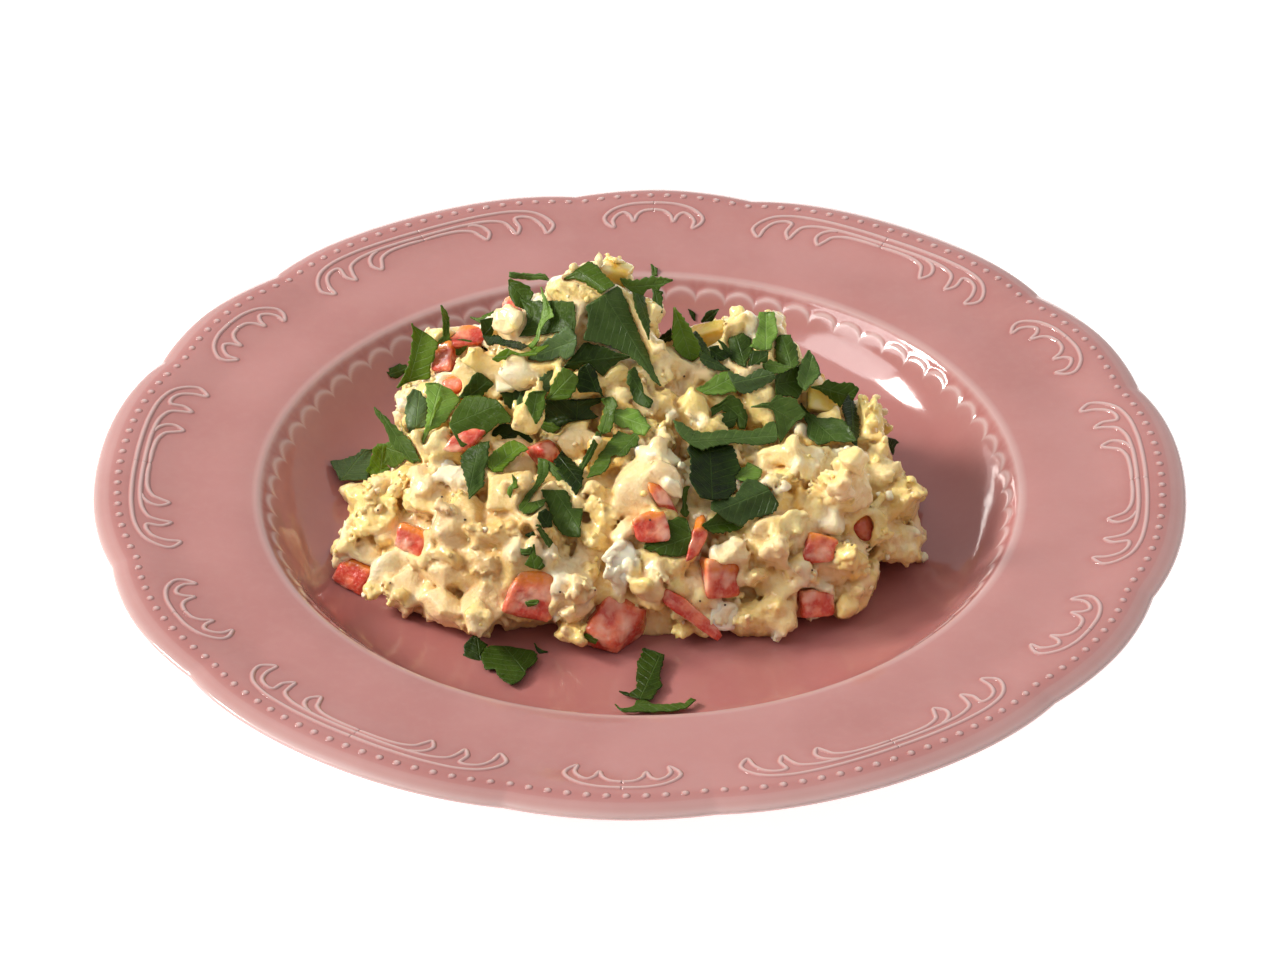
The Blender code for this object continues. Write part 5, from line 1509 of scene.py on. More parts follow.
class Silhouette:
    """The salad's outline in the photograph, as a map of how far places lie outside it, in millimetres."""

    def __init__(self):
        self.step = 2.0
        corners = np.array(HEAP_OUTLINE, float)
        self.low = corners.min(0) - 70.0
        size = np.ceil((corners.max(0) + 70.0 - self.low) / self.step).astype(int) + 1
        axes = [self.low[i] + self.step * np.arange(size[i]) for i in range(2)]
        columns, rows = np.meshgrid(*axes, indexing="ij")
        spots = np.stack([columns, rows], -1)
        least = np.full(columns.shape, 1e6)
        inside = np.zeros(columns.shape, bool)
        for first, last in zip(corners, np.roll(corners, -1, axis=0)):
            way = last - first
            share = np.clip(((spots - first) @ way) / (way @ way), 0.0, 1.0)
            gap = np.linalg.norm(spots - first - share[..., None] * way, axis=-1)
            least = np.minimum(least, gap)
            if way[1]:
                crossing = first[0] + way[0] * (rows - first[1]) / way[1]
                inside ^= ((first[1] > rows) != (last[1] > rows)) & (columns < crossing)
        self.away = np.where(inside, -least, least) / PIXELS_PER_MM
        self.slope = np.stack(np.gradient(self.away, self.step / PIXELS_PER_MM), -1)

    def read(self, values, columns, rows):
        """Values of the map between its points."""
        spot = np.stack([(columns - self.low[0]) / self.step, (rows - self.low[1]) / self.step], -1)
        spot = np.clip(spot, 0.0, np.array(self.away.shape) - 1.001)
        cell = spot.astype(int)
        part = spot - cell
        total = 0.0
        for i in (0, 1):
            for j in (0, 1):
                weight = np.abs(1 - i - part[..., 0]) * np.abs(1 - j - part[..., 1])
                value = values[cell[..., 0] + i, cell[..., 1] + j]
                total = total + (weight[..., None] if value.ndim > weight.ndim else weight) * value
        return total

    def outside(self, points):
        """How far points in millimetres lie outside the outline, as the camera sees them."""
        return self.read(self.away, *picture_place(points))

    def pull_in(self, middle, half):
        """A place moved across the view until a body of this half size keeps inside the outline."""
        far = float(self.outside(middle)) + half
        if far <= 0.0:
            return middle
        slope = self.read(self.slope, *picture_place(middle))
        turn = np.array(camera_turn())
        return middle - min(far, 12.0) * (slope[0] * turn[:, 0] - slope[1] * turn[:, 1])


def make_body(kind, shape, middle, turned, size, soft, rng):
    """A piece of salad as a body with flat faces and rounded edges."""
    normals, offsets = facets(shape, rng)
    size = np.asarray(size, float)
    true = normals / size
    length = np.linalg.norm(true, axis=1)
    return {
        "kind": kind,
        "middle": np.asarray(middle, float),
        "spin": turned,
        "size": size,
        "reach": 0.56 * float(np.linalg.norm(size)) + 1.0,
        "normals": true / length[:, None],
        "offsets": offsets / length,
        "soft": soft,
    }


def hero_bodies(silhouette, rng):
    """The larger pieces, where the photograph shows them."""
    made = []
    for kind, shape, column, row, wide, tall, deep, turn, tilt, proud in PIECES:
        place = heap_hit(column, row)
        normal = surface_normal(place[0], place[1])
        facing = normal + 0.8 * VIEW_UNIT
        facing /= np.linalg.norm(facing)
        stand = proud + (STAND_OUT if kind in SHOWN else 0.5 * STAND_OUT)
        middle = place + facing * (stand - 0.42 * deep)
        middle = silhouette.pull_in(middle, 0.4 * min(wide, tall))
        middle[2] = max(middle[2], float(plate_height(middle[0], middle[1])) + 0.3 * min(deep, tall))
        soft = 0.5 if kind in ("chicken", "cheese", "dressing") else 0.35
        turned = spin(facing, math.radians(turn), math.radians(tilt))
        made.append(make_body(kind, shape, middle, turned, (wide, tall, deep), soft, rng))
    return made


def edge_bodies(silhouette, shown, rng):
    """Lumps just inside the salad's outline, so that it reaches as far as the photograph shows."""
    corners = np.array(HEAP_OUTLINE + HEAP_OUTLINE[:1], float)
    way = np.concatenate([[0.0], np.cumsum(np.linalg.norm(np.diff(corners, axis=0), axis=1))])
    made = []
    for at in np.arange(0.0, way[-1], EDGE_SPACING * PIXELS_PER_MM):
        column = np.interp(at, way, corners[:, 0])
        row = np.interp(at, way, corners[:, 1])
        size = rng.uniform(*EDGE_SIZES) * rng.uniform(0.8, 1.15, 3)
        slope = silhouette.read(silhouette.slope, np.array(column), np.array(row))
        inward = 0.42 * size.min() * PIXELS_PER_MM
        place = heap_hit(column - slope[0] * inward, row - slope[1] * inward)
        place[2] = max(place[2], float(plate_height(place[0], place[1])) + 0.36 * size[2])
        normal = surface_normal(place[0], place[1]) + rng.normal(0, 0.3, 3)
        kind = rng.choice(tuple(EDGE_MIXTURE), p=tuple(EDGE_MIXTURE.values()))
        turned = spin(normal, rng.uniform(0, 6), rng.normal(0, 0.3))
        needed = [0.5 * (body["size"].max() + size.mean()) for body in shown]
        if all(math.dist(body["middle"], place) > gap for body, gap in zip(shown, needed)):
            made.append(make_body(kind, rng.choice(("lump", "dice")), place, turned, size, 0.6, rng))
    return made


def spread_spots(places, facings, spacing, count, rng):
    """A choice of places no nearer to each other than a spacing."""
    chosen = []
    cells = {}
    around = [(a, b, c) for a in (-1, 0, 1) for b in (-1, 0, 1) for c in (-1, 0, 1)]
    for at in rng.permutation(len(places))[: count * 12]:
        if len(chosen) == count:
            break
        place = places[at]
        home = np.floor(place / spacing).astype(int)
        near = [p for step in around for p in cells.get(tuple(home + step), ())]
        if any(math.dist(p, place) < spacing for p in near):
            continue
        cells.setdefault(tuple(home), []).append(tuple(place))
        chosen.append(at)
    return places[chosen], facings[chosen]


def leaf_props(sheets, silhouette, rng):
    """Lumps of salad that hold the leaves up from behind."""
    made = []
    for top, under in sheets[:HEAP_LEAVES]:
        rows, columns = under.shape[:2]
        middle = under[rows // 2, columns // 2]
        facing = top[rows // 2, columns // 2] - middle
        facing /= np.linalg.norm(facing)
        size = rng.uniform(*PROP_SIZES) * np.array((1.0, 0.9, 0.85))
        place = middle - facing * (0.42 * size[2] + 0.3)
        place = silhouette.pull_in(place, 0.42 * size[1])
        turned = spin(facing, rng.uniform(0, 6), 0.0)
        made.append(make_body("cheese", "lump", place, turned, size, 0.6, rng))
    return made


def add_tier(grid, bodies, tier, rng, room, silhouette):
    """Cover the salad with one size of piece, set into what is there already."""
    count, spacing, sizes, sunk, shapes, soft, blends = tier
    places, facings = grid.skin()
    owner = grid.nearest(grid.owner, places)
    on_hero = (owner > 0) & (owner <= len(PIECES))
    open_place = (places[:, 2] > 7.0) & (grid.nearest(room, places + 1.5 * facings) < 0.02)
    open_place &= ~on_hero | (rng.uniform(size=len(places)) < HERO_COVER)
    places, facings = spread_spots(places[open_place], facings[open_place], spacing, count, rng)
    for place, facing in zip(places, facings):
        kind = rng.choice(tuple(MIXTURE), p=tuple(MIXTURE.values()))
        shape = rng.choice(shapes)
        size = rng.uniform(*sizes) * rng.uniform(0.75, 1.2, 3)
        if shape == "shred":
            size *= (1.6, 0.6, 0.6)
        if shape == "slab":
            size *= (1.15, 1.05, 0.5)
        lean = facing + rng.normal(0, 0.35, 3)
        middle = place + facing * (rng.uniform(*sunk) * size[2])
        middle = silhouette.pull_in(middle, 0.4 * float(size.mean()))
        middle[2] = max(middle[2], float(plate_height(middle[0], middle[1])) + 0.3 * size[2])
        turned = spin(lean, rng.uniform(0, 2 * math.pi), rng.normal(0, 0.4))
        bodies.append(make_body(kind, shape, middle, turned, size, soft, rng))
        grid.add(bodies[-1], len(bodies), 0.0, rng.uniform(*blends))


def mark_leaves(grid, sheets):
    """Mark the cells that the leaves take up, and those before their faces."""
    for number, (top, under) in enumerate(sheets):
        points = np.vstack([top.reshape(-1, 3), under.reshape(-1, 3)])
        for step in np.arange(0.0, LEAF_ROOM if number < HEAP_LEAVES else 1.0, 0.5):
            grid.mark(points + VIEW_UNIT * step)
        for step in np.arange(0.5, 3.0, 0.5):
            grid.mark(points + np.array((0.0, 0.0, 1.0)) * step)


def mark_shown(grid, bodies):
    """Mark the cells before the middle of the ingredients that show."""
    directions, _ = ball(4)
    for number, body in enumerate(bodies):
        outside = body_points(body, directions, 0.0)[1] - body["middle"]
        front = outside[outside @ VIEW_UNIT > 0.1]
        ragged = 0.68 + 0.24 * lattice_noise(front + body["middle"], 3.0, 700 + number)
        front = front * ragged[:, None] + body["middle"]
        for step in np.arange(0.6, SHOWN_ROOM, 0.5):
            grid.mark(front + VIEW_UNIT * step)


def round_off(field, limit, span):
    """A field cut back where a limit is greater, with a rounded edge about a span wide."""
    share = np.clip(0.5 + 0.5 * (limit - field) / span, 0.0, 1.0)
    return field * (1 - share) + limit * share + span * share * (1 - share)


def surface_net(grid):
    """Points and four-sided faces where the field passes zero."""
    field = grid.field
    inside = field < 0
    count = np.zeros([n - 1 for n in grid.shape], np.uint8)
    corners = [(i, j, k) for i in (0, 1) for j in (0, 1) for k in (0, 1)]
    for i, j, k in corners:
        count += inside[i : grid.shape[0] - 1 + i, j : grid.shape[1] - 1 + j, k : grid.shape[2] - 1 + k]
    active = (count > 0) & (count < 8)
    where = np.argwhere(active)
    index = np.full(active.shape, -1, np.int32)
    index[active] = np.arange(len(where))
    values = np.stack([field[where[:, 0] + i, where[:, 1] + j, where[:, 2] + k] for i, j, k in corners], -1)
    total = np.zeros((len(where), 3))
    hits = np.zeros(len(where))
    for a in range(8):
        for b in range(a + 1, 8):
            gap = np.abs(np.subtract(corners[a], corners[b]))
            if gap.sum() != 1:
                continue
            cross = (values[:, a] < 0) != (values[:, b] < 0)
            share = values[:, a] / np.where(cross, values[:, a] - values[:, b], 1.0)
            place = np.array(corners[a]) + share[:, None] * np.subtract(corners[b], corners[a])
            total += np.where(cross[:, None], place, 0.0)
            hits += cross
    points = grid.low + CELL * (where + total / hits[:, None])
    faces = []
    for axis in range(3):
        u, v = (axis + 1) % 3, (axis + 2) % 3
        first = np.take(inside, range(0, grid.shape[axis] - 1), axis)
        second = np.take(inside, range(1, grid.shape[axis]), axis)
        spot = np.argwhere(first != second)
        good = (spot[:, u] > 0) & (spot[:, u] < grid.shape[u] - 1)
        good &= (spot[:, v] > 0) & (spot[:, v] < grid.shape[v] - 1)
        spot = spot[good]
        outward = first[spot[:, 0], spot[:, 1], spot[:, 2]]
        ring = []
        for du, dv in ((-1, -1), (0, -1), (0, 0), (-1, 0)):
            cell = spot.copy()
            cell[:, u] += du
            cell[:, v] += dv
            ring.append(index[cell[:, 0], cell[:, 1], cell[:, 2]])
        quads = np.stack(ring, -1)
        quads[~outward] = quads[~outward][:, ::-1]
        faces.append(quads)
    return points, np.vstack(faces)


def largest_shell(points, faces):
    """Only the largest connected part of a mesh."""
    label = np.arange(len(points))
    edges = np.vstack([faces[:, [0, 1]], faces[:, [1, 2]], faces[:, [2, 3]]])
    while True:
        low = np.minimum(label[edges[:, 0]], label[edges[:, 1]])
        fresh = label.copy()
        np.minimum.at(fresh, edges[:, 0], low)
        np.minimum.at(fresh, edges[:, 1], low)
        fresh = fresh[fresh]
        if np.array_equal(fresh, label):
            break
        label = fresh
    names, sizes = np.unique(label, return_counts=True)
    keep = label == names[np.argmax(sizes)]
    number = np.cumsum(keep) - 1
    return points[keep], number[faces[keep[faces[:, 0]]]]


def lower_left(x, y):
    """One at the lower left of the heap, where the dressing lies calm and painted shade darkens it, and less
    away from it.
    """
    (middle_x, middle_y), (half_x, half_y) = LOWER_LEFT, LOWER_LEFT_HALF
    return np.exp(-(((x - middle_x) / half_x) ** 2) - ((y - middle_y) / half_y) ** 2)


def roughen(grid, bodies, rng):
    """Give each piece a relief of its own, from smooth to crumbly, and calm the lower left."""
    shares = rng.choice(SMOOTH_OR_ROUGH, len(bodies)) * rng.uniform(0.7, 1.3, len(bodies))
    roughness = np.concatenate([[1.0], shares])
    rough = blur(roughness.astype(np.float32)[grid.owner], 1, 1)
    coat, bumps, curds, grains = band_noise(grid.shape, WAVES, 21)
    calm = lower_left(grid.x, grid.y)[..., None] * (1.0 - smooth_step(16.0, 26.0, grid.height))
    rough = rough * np.clip(1.0 + 0.3 * coat, 0.4, 1.6) * (1.0 - 0.6 * calm)
    relief = BUMP * bumps + CURD * (np.abs(curds) - 0.8) + GRAIN * (np.abs(grains) - 0.8)
    grid.field -= rough * relief + 0.45 * calm + 0.1 * coat


def clear_room(grid, wide):
    """Cut the field back from the leaves, the plate and the top, and open its thin webs."""
    near = (grid.keep_off - NEAR_ROOM[0]) * NEAR_ROOM[1]
    grid.field = np.maximum(grid.field, np.maximum(near, (wide - WIDE_ROOM[0]) * WIDE_ROOM[1]))
    floor = plate_height(grid.x, grid.y)[..., None] - 0.15 - grid.height
    grid.field = np.maximum(grid.field, np.maximum(floor, grid.height - TALLEST)).astype(np.float32)
    filled = blur((grid.field < 0).astype(np.float32), WIDE_CELLS, 1)
    thin = np.where(wide > 0.03, THIN_SHARE, 0.5 * THIN_SHARE)
    grid.field = np.maximum(grid.field, (thin - filled) * 6.0)
    for side in (0, -1):
        grid.field[side] = 1.0
        grid.field[:, side] = 1.0
        grid.field[:, :, side] = 1.0


def grow_salad(sheets):
    """The whole salad as one field: the bare heap, its pieces and the dressing that binds them."""
    rng = np.random.default_rng(11)
    silhouette = Silhouette()
    grid = Grid()
    heroes = hero_bodies(silhouette, rng)
    shown = [body for body in heroes if body["kind"] in CLEAR]
    mark_leaves(grid, sheets)
    mark_shown(grid, shown)
    wide = blur(grid.keep_off, WIDE_CELLS, 2)
    for axis in range(3):
        beside = np.roll(grid.keep_off, 1, axis) + 2 * grid.keep_off + np.roll(grid.keep_off, -1, axis)
        grid.keep_off = beside / 4
    room = np.maximum(grid.keep_off, np.roll(grid.keep_off, 2, 2))
    bodies = heroes + leaf_props(sheets, silhouette, rng) + edge_bodies(silhouette, shown, rng)
    for number, body in enumerate(bodies, 1):
        clear = body["kind"] in CLEAR
        grid.add(body, number, 0.4 if clear else 0.0, 0.4 if clear else rng.uniform(0.5, 1.1))
    for tier in TIERS:
        add_tier(grid, bodies, tier, rng, room, silhouette)
    for i in range(grid.shape[0]):
        near = np.stack(np.meshgrid(grid.axes[0][i], grid.axes[1], grid.axes[2], indexing="ij"), -1)[0]
        grid.field[i] = round_off(grid.field[i], 0.9 * silhouette.outside(near) - 0.3, 1.6)
    roughen(grid, bodies, rng)
    clear_room(grid, wide)
    # How enclosed each place is, which later sets the painted crevice shade.
    hollow = blur((grid.field < 0).astype(np.float32), WIDE_CELLS, 2)
    return grid, bodies, hollow


def thin_out(thing, limit):
    """Reduce a mesh to a number of triangles, keeping its shape."""
    count = sum(len(p.vertices) - 2 for p in thing.data.polygons)
    if count <= limit:
        return
    less = thing.modifiers.new("less", "DECIMATE")
    less.ratio = limit / count
    graph = bpy.context.evaluated_depsgraph_get()
    mesh = bpy.data.meshes.new_from_object(thing.evaluated_get(graph))
    thing.modifiers.clear()
    thing.data = mesh


def mesh_points(mesh):
    """A mesh's points in millimetres."""
    co = np.zeros(len(mesh.vertices) * 3, np.float32)
    mesh.vertices.foreach_get("co", co)
    return co.reshape(-1, 3) / MM


def even_out(mesh, values, rounds):
    """Average values with those of the neighbouring points of a mesh."""
    edges = np.zeros(len(mesh.edges) * 2, np.int32)
    mesh.edges.foreach_get("vertices", edges)
    a, b = edges.reshape(-1, 2).T
    count = np.bincount(a, minlength=len(values)) + np.bincount(b, minlength=len(values)) + 1.0
    for _ in range(rounds):
        total = values.copy()
        for column, sums in zip(values.T, total.T):
            sums += np.bincount(a, column[b], len(column)) + np.bincount(b, column[a], len(column))
        values = total / count[:, None]
    return values


def build_dressing(grid, bodies, hollow):
    """The bound salad: chicken, cheese and egg under their dressing, with painted shade in its crevices and
    over its lower left.
    """
    points, faces = largest_shell(*surface_net(grid))
    made = mesh_object("salad_dressing", points, faces, dressing_finish())
    thin_out(made, MOST_TRIANGLES)
    made.data.polygons.foreach_set("use_smooth", np.ones(len(made.data.polygons), bool))
    points = mesh_points(made.data)
    rng = np.random.default_rng(31)
    colours = [INGREDIENTS["dressing"]]
    for body in bodies:
        kind = "dressing" if body["kind"] in ("tomato", "corn") else body["kind"]
        colours.append(np.array(INGREDIENTS[kind]) * rng.uniform(0.9, 1.06))
    tint = even_out(made.data, np.array(colours)[grid.nearest(grid.owner, points)], 1)
    # Painted shade: the salad's lower left darkened.
    calm = lower_left(points[:, 0], points[:, 1])
    tint = tint * (1.0 - calm[:, None] * LOWER_LEFT_PAINTED_SHADE)
    film = 0.2 + 0.42 * lattice_noise(points, 4.5, 61) + 0.3 * lattice_noise(points, 1.8, 62)
    film = np.clip(film, 0.0, 0.9)
    tint = tint * (1 - film[:, None]) + np.array(INGREDIENTS["dressing"]) * film[:, None]
    # Painted shade: the more enclosed a point of the salad, the more of the darker amber crevice colour it
    # gets.
    depth = smooth_step(0.50, 0.76, grid.nearest(hollow, points))[:, None]
    tint = tint * (1 - CREVICE_SHADE_SHARE * depth) + CREVICE_SHADE_SHARE * depth * np.array(CREVICE_SHADE_COLOUR)
    set_values(made.data, "tint", np.minimum(tint, 0.96))
    place_piece(made, "salad", "salad_heap")
    return made


def wet_food(name, roughness, scatter, scale_mm):
    """A moist food finish with light scattered below its face."""
    made = Finish(name, roughness)
    made.set(Subsurface_Weight=scatter, Subsurface_Scale=scale_mm * MM, Subsurface_Radius=(1.0, 0.5, 0.18))
    made.set(IOR=1.4, Coat_Weight=0.6, Coat_Roughness=0.1, Coat_IOR=1.45)
    return made


def dressing_finish():
    """Creamy dressing over pieces of cheese, chicken and egg."""
    made = wet_food("salad_dressing", 0.32, 0.25, 1.3)
    fine = made.noise(1.0, 3.0)
    wide = made.noise(5.0, 3.0)
    base = made.mix(made.ramp(fine, 0.45, 0.75, 0.0, 0.3), made.colour("tint"), CURD_FLECK)
    base = made.mix(made.ramp(wide, 0.56, 0.74, 0.0, 0.4), base, AMBER)
    made.link(base, "Base Color")
    made.link(made.ramp(wide, 0.3, 0.7, 0.2, 0.42), "Roughness")
    made.bump(made.noise(1.0, 5.0, 0.7), 0.42)
    return made.material


def ball(level):
    """Directions and triangles of a ball made from an icosahedron."""
    work = bmesh.new()
    bmesh.ops.create_icosphere(work, subdivisions=level, radius=1.0)
    points = np.array([tuple(v.co) for v in work.verts])
    faces = np.array([[v.index for v in f.verts] for f in work.faces])
    work.free()
    return points / np.linalg.norm(points, axis=1, keepdims=True), faces


def body_points(body, directions, grow):
    """The points of a body's outside in some directions, with softened edges."""
    rays = directions / np.abs(directions).max(axis=1, keepdims=True) * 0.5 * body["size"]
    lean = np.maximum(rays @ body["normals"].T, 1e-4) / (body["offsets"] + grow)
    local = rays * ((lean**14).sum(1) ** (-1.0 / 14))[:, None]
    return local, local @ body["spin"].T + body["middle"]


def build_shown(bodies, kind, paint):
    """All bodies of one ingredient as a piece of their own."""
    *look, roughness, grow = SHOWN_LOOKS[kind]
    finish = shown_finish(f"salad_{kind}", *look)
    directions, triangles = ball(SHOWN_LEVEL)
    points, faces, tints, total = [], [], [], 0
    for number, body in enumerate(bodies):
        if body["kind"] != kind:
            continue
        local, spots = body_points(body, directions, grow)
        outward = spots - body["middle"]
        outward /= np.linalg.norm(outward, axis=1, keepdims=True)
        wave = lattice_noise(spots, 2.1, 200 + number) + 0.5 * lattice_noise(spots, 0.9, 300 + number)
        spots = spots + outward * (roughness * wave)[:, None]
        spots[:, 2] = np.maximum(spots[:, 2], plate_height(spots[:, 0], spots[:, 1]) + 0.05)
        points.append(spots)
        faces.append(triangles + total)
        tints.append(paint(local / body["size"], spots, number))
        total += len(spots)
    values = {"tint": np.vstack(tints)}
    made = mesh_object(f"salad_{kind}", np.vstack(points), np.vstack(faces), finish, values)
    place_piece(made, "salad", "salad_heap")
    return made


def blend_colours(share, first, second):
    """Two colours mixed point by point."""
    return np.asarray(first) * (1 - share[:, None]) + np.asarray(second) * share[:, None]


def paint_tomato(local, spots, number):
    """Orange skin on one face, red flesh on the others, and a film of dressing in patches."""
    skin = smooth_step(0.18, 0.34, local[:, 1] + 0.08 * lattice_noise(spots, 2.0, 401))
    if number % 3 == 2:
        skin = skin * 0.15
    flesh = blend_colours(smooth_step(-0.2, 0.5, lattice_noise(spots, 2.4, 402)), *TOMATO_FLESH)
    base = blend_colours(skin, flesh, TOMATO_SKIN)
    patches = lattice_noise(spots, 3.2, 403) + 0.5 * lattice_noise(spots, 1.1, 404) + 0.02
    film = smooth_step(0.05, 0.7, patches)
    return blend_colours(film * (0.62 - 0.25 * skin), base, TOMATO_FILM)


def paint_corn(local, spots, number):
    """Clear yellow, paler where the dressing lies."""
    film = smooth_step(0.1, 0.7, lattice_noise(spots, 2.6, 411))
    base = blend_colours(smooth_step(-0.5, 0.5, lattice_noise(spots, 3.0, 412)), *CORN_SKIN)
    return blend_colours(film * 0.6, base, CORN_FILM)


def paint_egg(local, spots, number):
    """White of egg, with a yellower film of dressing."""
    film = smooth_step(-0.2, 0.8, lattice_noise(spots, 3.0, 421))
    return blend_colours(film * 0.6, np.tile(EGG_WHITE, (len(spots), 1)), EGG_FILM)


def shown_finish(name, roughness, scatter, grain_mm, depth_mm, pale):
    """A finish for one ingredient, coloured by its mesh, with a fine grain."""
    made = wet_food(name, roughness, scatter, 1.8)
    grain = made.noise(grain_mm, 3.0)
    base = made.mix(made.ramp(grain, 0.45, 0.75, 0.0, 0.4), made.colour("tint"), pale)
    made.link(base, "Base Color")
    made.link(made.ramp(made.noise(2.5, 2.0), 0.3, 0.7, roughness - 0.06, roughness + 0.12), "Roughness")
    made.bump(grain, depth_mm)
    return made.material


def build_crumbs(dressing, grid):
    """Small curds that cling to the salad."""
    rng = np.random.default_rng(71)
    mesh = dressing.data
    spots = mesh_points(mesh)
    normals = np.zeros(len(spots) * 3, np.float32)
    mesh.vertices.foreach_get("normal", normals)
    normals = normals.reshape(-1, 3)
    good = (spots[:, 2] > 7.5) & (normals[:, 2] > -0.3) & (grid.nearest(grid.keep_off, spots) < 0.02)
    chosen = rng.choice(np.flatnonzero(good), CRUMBS, replace=False)
    directions, triangles = ball(2)
    points, faces, tints = [], [], []
    for number, at in enumerate(chosen):
        size = 0.9 + 1.5 * rng.uniform() ** 2
        shape = rng.choice(("lump", "slab", "dice"))
        turned = spin(normals[at], rng.uniform(0, 6), rng.normal(0, 0.4))
        place = spots[at] + normals[at] * size * 0.08
        sizes = size * rng.uniform(0.7, 1.2, 3)
        body = make_body("crumb", shape, place, turned, sizes, 0.1, rng)
        outside = body_points(body, directions, 0.0)[1]
        rough = 0.09 * size * rng.normal(0, 1, (len(outside), 1)).clip(-1, 1)
        points.append(outside + rough * (outside - body["middle"]) / size)
        faces.append(triangles + number * len(directions))
        kind = rng.choice(("dressing", "white", "cheese", "chicken"))
        tints.append(np.tile(np.array(INGREDIENTS[kind]) * rng.uniform(0.94, 1.04), (len(directions), 1)))
    values = {"tint": np.vstack(tints)}
    made = mesh_object("salad_crumbs", np.vstack(points), np.vstack(faces), mesh.materials[0], values)
    place_piece(made, "salad", "salad_heap")
    return made


def build_specks(tree):
    """Specks of ground pepper."""
    rng = np.random.default_rng(81)
    directions, triangles = ball(1)
    points, faces = [], []
    for column, row in SPECKS:
        hit = cast(tree, column, row)
        if hit is None:
            continue
        size = rng.uniform(*SPECK_SIZES)
        points.append(directions * size * rng.uniform(0.6, 1.2, 3) + hit[0] + hit[1] * 0.1)
        faces.append(triangles + len(faces) * len(directions))
    finish = Finish("salad_pepper", 0.6)
    finish.link(finish.mix(finish.noise(0.4), *PEPPER), "Base Color")
    made = mesh_object("salad_pepper", np.vstack(points), np.vstack(faces), finish.material)
    place_piece(made, "salad", "salad_heap")


def cast(tree, column, row):
    """Where the ray through a place in the photograph first meets the salad, a leaf or the plate."""
    ray = picture_ray(column, row)
    place, normal, _, _ = tree.ray_cast(Vector(CAMERA_PLACE), Vector(ray))
    if place is None:
        return None
    normal = np.array(normal)
    return np.array(place), normal if normal @ ray < 0 else -normal


def scene_tree(things):
    """A tree of the faces of some pieces, in millimetres."""
    points, faces, total = [], [], 0
    for thing in things:
        mesh = thing.data
        mesh.calc_loop_triangles()
        triangles = np.zeros(len(mesh.loop_triangles) * 3, np.int32)
        mesh.loop_triangles.foreach_get("vertices", triangles)
        points.append(mesh_points(mesh))
        faces.append(triangles.reshape(-1, 3) + total)
        total += len(mesh.vertices)
    return BVHTree.FromPolygons(np.vstack(points).tolist(), np.vstack(faces).tolist())


def build_bits(tree, salad, finish):
    """Small bits of leaf and stalk, laid where the photograph shows them."""
    points, faces, values, total = [], [], [], 0
    for number, (light, warm, outline) in enumerate(BITS):
        rng = np.random.default_rng(910 + number)
        column, row = np.mean(outline, axis=0)
        reach = 0.3 * np.ptp(np.array(outline), axis=0)
        steps = ((0, 0), (1, 0), (-1, 0), (0, 1), (0, -1))
        hits = [cast(tree, column + dx * reach[0], row + dy * reach[1]) for dx, dy in steps]
        middle = heap_hit(column, row)
        if hits[0] is None or np.linalg.norm(hits[0][0] - middle) > BIT_FARTHEST:
            spot, facing, _, _ = salad.find_nearest(Vector(middle))
            hits = [(np.array(spot), np.array(facing))]
        middle = hits[0][0]
        near = [hit for hit in hits if hit is not None and np.linalg.norm(hit[0] - middle) < 4.0]
        facing = sum(hit[1] for hit in near) / len(near) + 0.9 * TOWARD_VIEW
        facing /= np.linalg.norm(facing)
        rise = max(float((hit[0] - middle) @ facing) for hit in near)
        middle = middle + facing * (0.35 + 0.6 * min(rise, 2.0))
        sheet, rib, run = leaf_sheet(outline, middle, facing, BIT_SPACING, 0.5, rng)
        top, under = two_faces(sheet, facing, BIT_THICKNESS, 190 + number)
        points += [top.reshape(-1, 3), under.reshape(-1, 3)]
        faces.append(sheet_faces(*rib.shape, total))
        values.append(leaf_values(rib, run, number, light, warm))
        total += 2 * rib.size
    joined = {key: np.concatenate([value[key] for value in values]) for key in values[0]}
    made = mesh_object("parsley_bits", np.vstack(points), np.vstack(faces), finish, joined)
    turn_outward(made)
    place_piece(made, "parsley", "salad_heap")


def camera_turn():
    """The camera's turn, as a matrix."""
    aim = Vector(CAMERA_AIM) - Vector(CAMERA_PLACE)
    return aim.to_track_quat("-Z", "Y").to_matrix() @ Matrix.Rotation(math.radians(CAMERA_ROLL), 3, "Z")


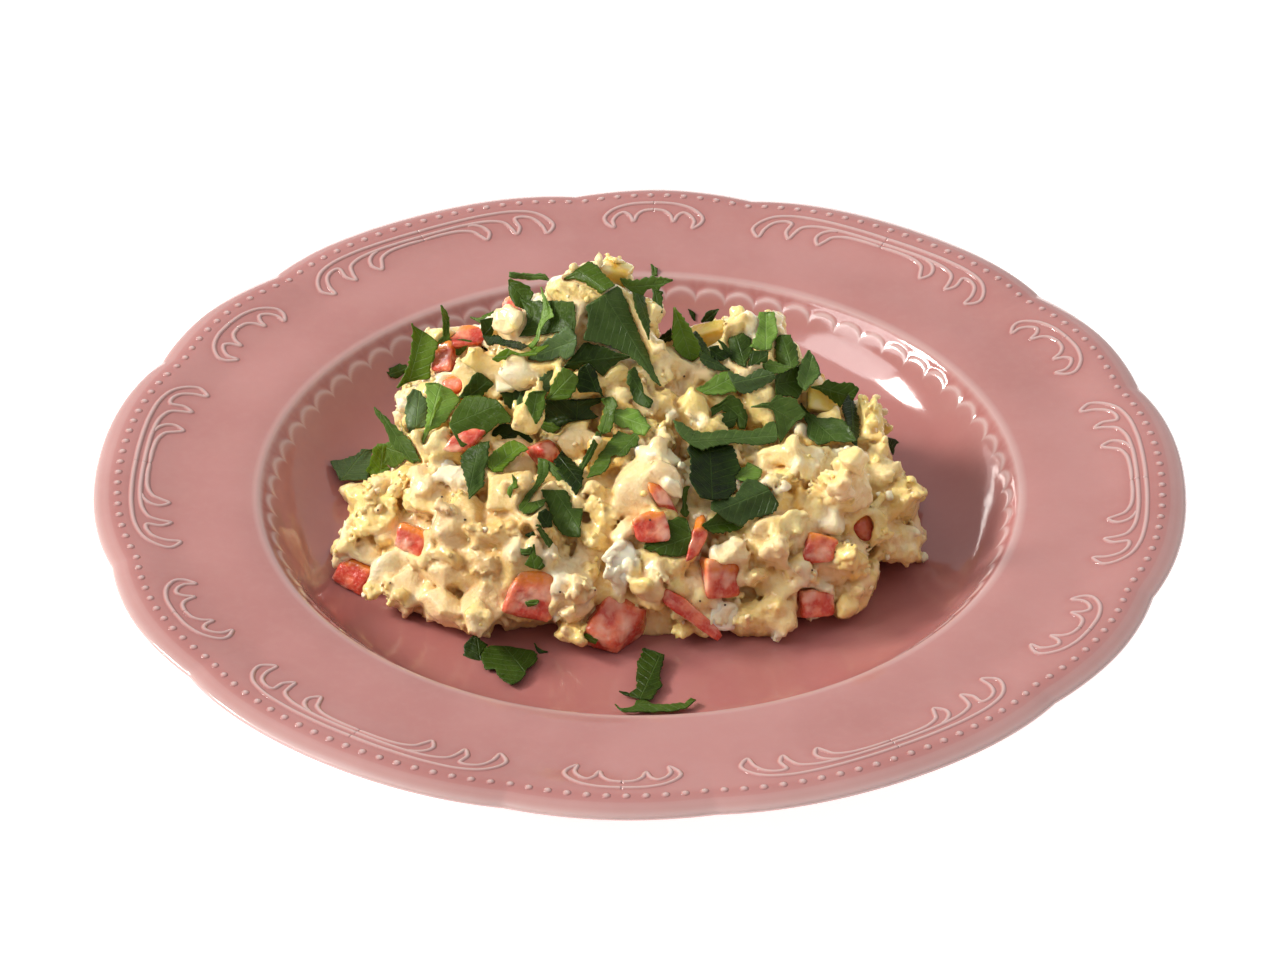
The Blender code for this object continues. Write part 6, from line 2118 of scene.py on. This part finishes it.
def picture_ray(column, row):
    """The direction in which the camera sees a column and row of the photograph."""
    across = (column - IMAGE_WIDTH / 2) / FOCAL_PIXELS
    up = (IMAGE_HEIGHT / 2 - row) / FOCAL_PIXELS
    return np.array(camera_turn() @ Vector((across, up, -1.0)))


def picture_place(points):
    """The columns and rows at which the camera sees some points."""
    local = (np.asarray(points) - np.array(CAMERA_PLACE)) @ np.array(camera_turn())
    scale = FOCAL_PIXELS / -local[..., 2]
    return IMAGE_WIDTH / 2 + local[..., 0] * scale, IMAGE_HEIGHT / 2 - local[..., 1] * scale


def heap_hit(column, row):
    """Where the ray through a place in the photograph meets the bare heap or plate, or passes closest."""
    place = np.array(CAMERA_PLACE)
    ray = picture_ray(column, row)
    steps = np.linspace((84.0 - place[2]) / ray[2], (4.0 - place[2]) / ray[2], 900)
    points = place + steps[:, None] * ray
    gap = points[:, 2] - surface(points[:, 0], points[:, 1])
    heap_gap = points[:, 2] - heap_height(points[:, 0], points[:, 1])
    heap_gap = np.where(points[:, 2] > 9.0, heap_gap, 99.0)
    if np.any(heap_gap < 0) or heap_gap.min() > 9.0:
        return points[np.argmax(gap < 0)]
    return points[np.argmin(heap_gap)]


def main():
    """Build the whole scene, the plate and the leaves first and the salad round the leaves."""
    set_camera()
    set_light()
    build_floor()
    plate = build_plate()
    glazed = plate.data.materials[0]
    build_beads(glazed)
    build_scrolls(glazed)
    finish = leaf_finish()
    leaves = [build_leaf(leaf, number, finish) for number, leaf in enumerate(LEAF_SHAPES, 1)]
    sheets = [leaf[1:] for leaf in leaves]
    grid, bodies, hollow = grow_salad(sheets)
    dressing = build_dressing(grid, bodies, hollow)
    paints = {"tomato": paint_tomato, "corn": paint_corn, "egg": paint_egg}
    shown = [build_shown(bodies, kind, paint) for kind, paint in paints.items()]
    shown.append(build_crumbs(dressing, grid))
    tree = scene_tree([dressing, *shown] + [leaf[0] for leaf in leaves] + [plate])
    build_bits(tree, scene_tree([dressing]), finish)
    build_specks(tree)


main()
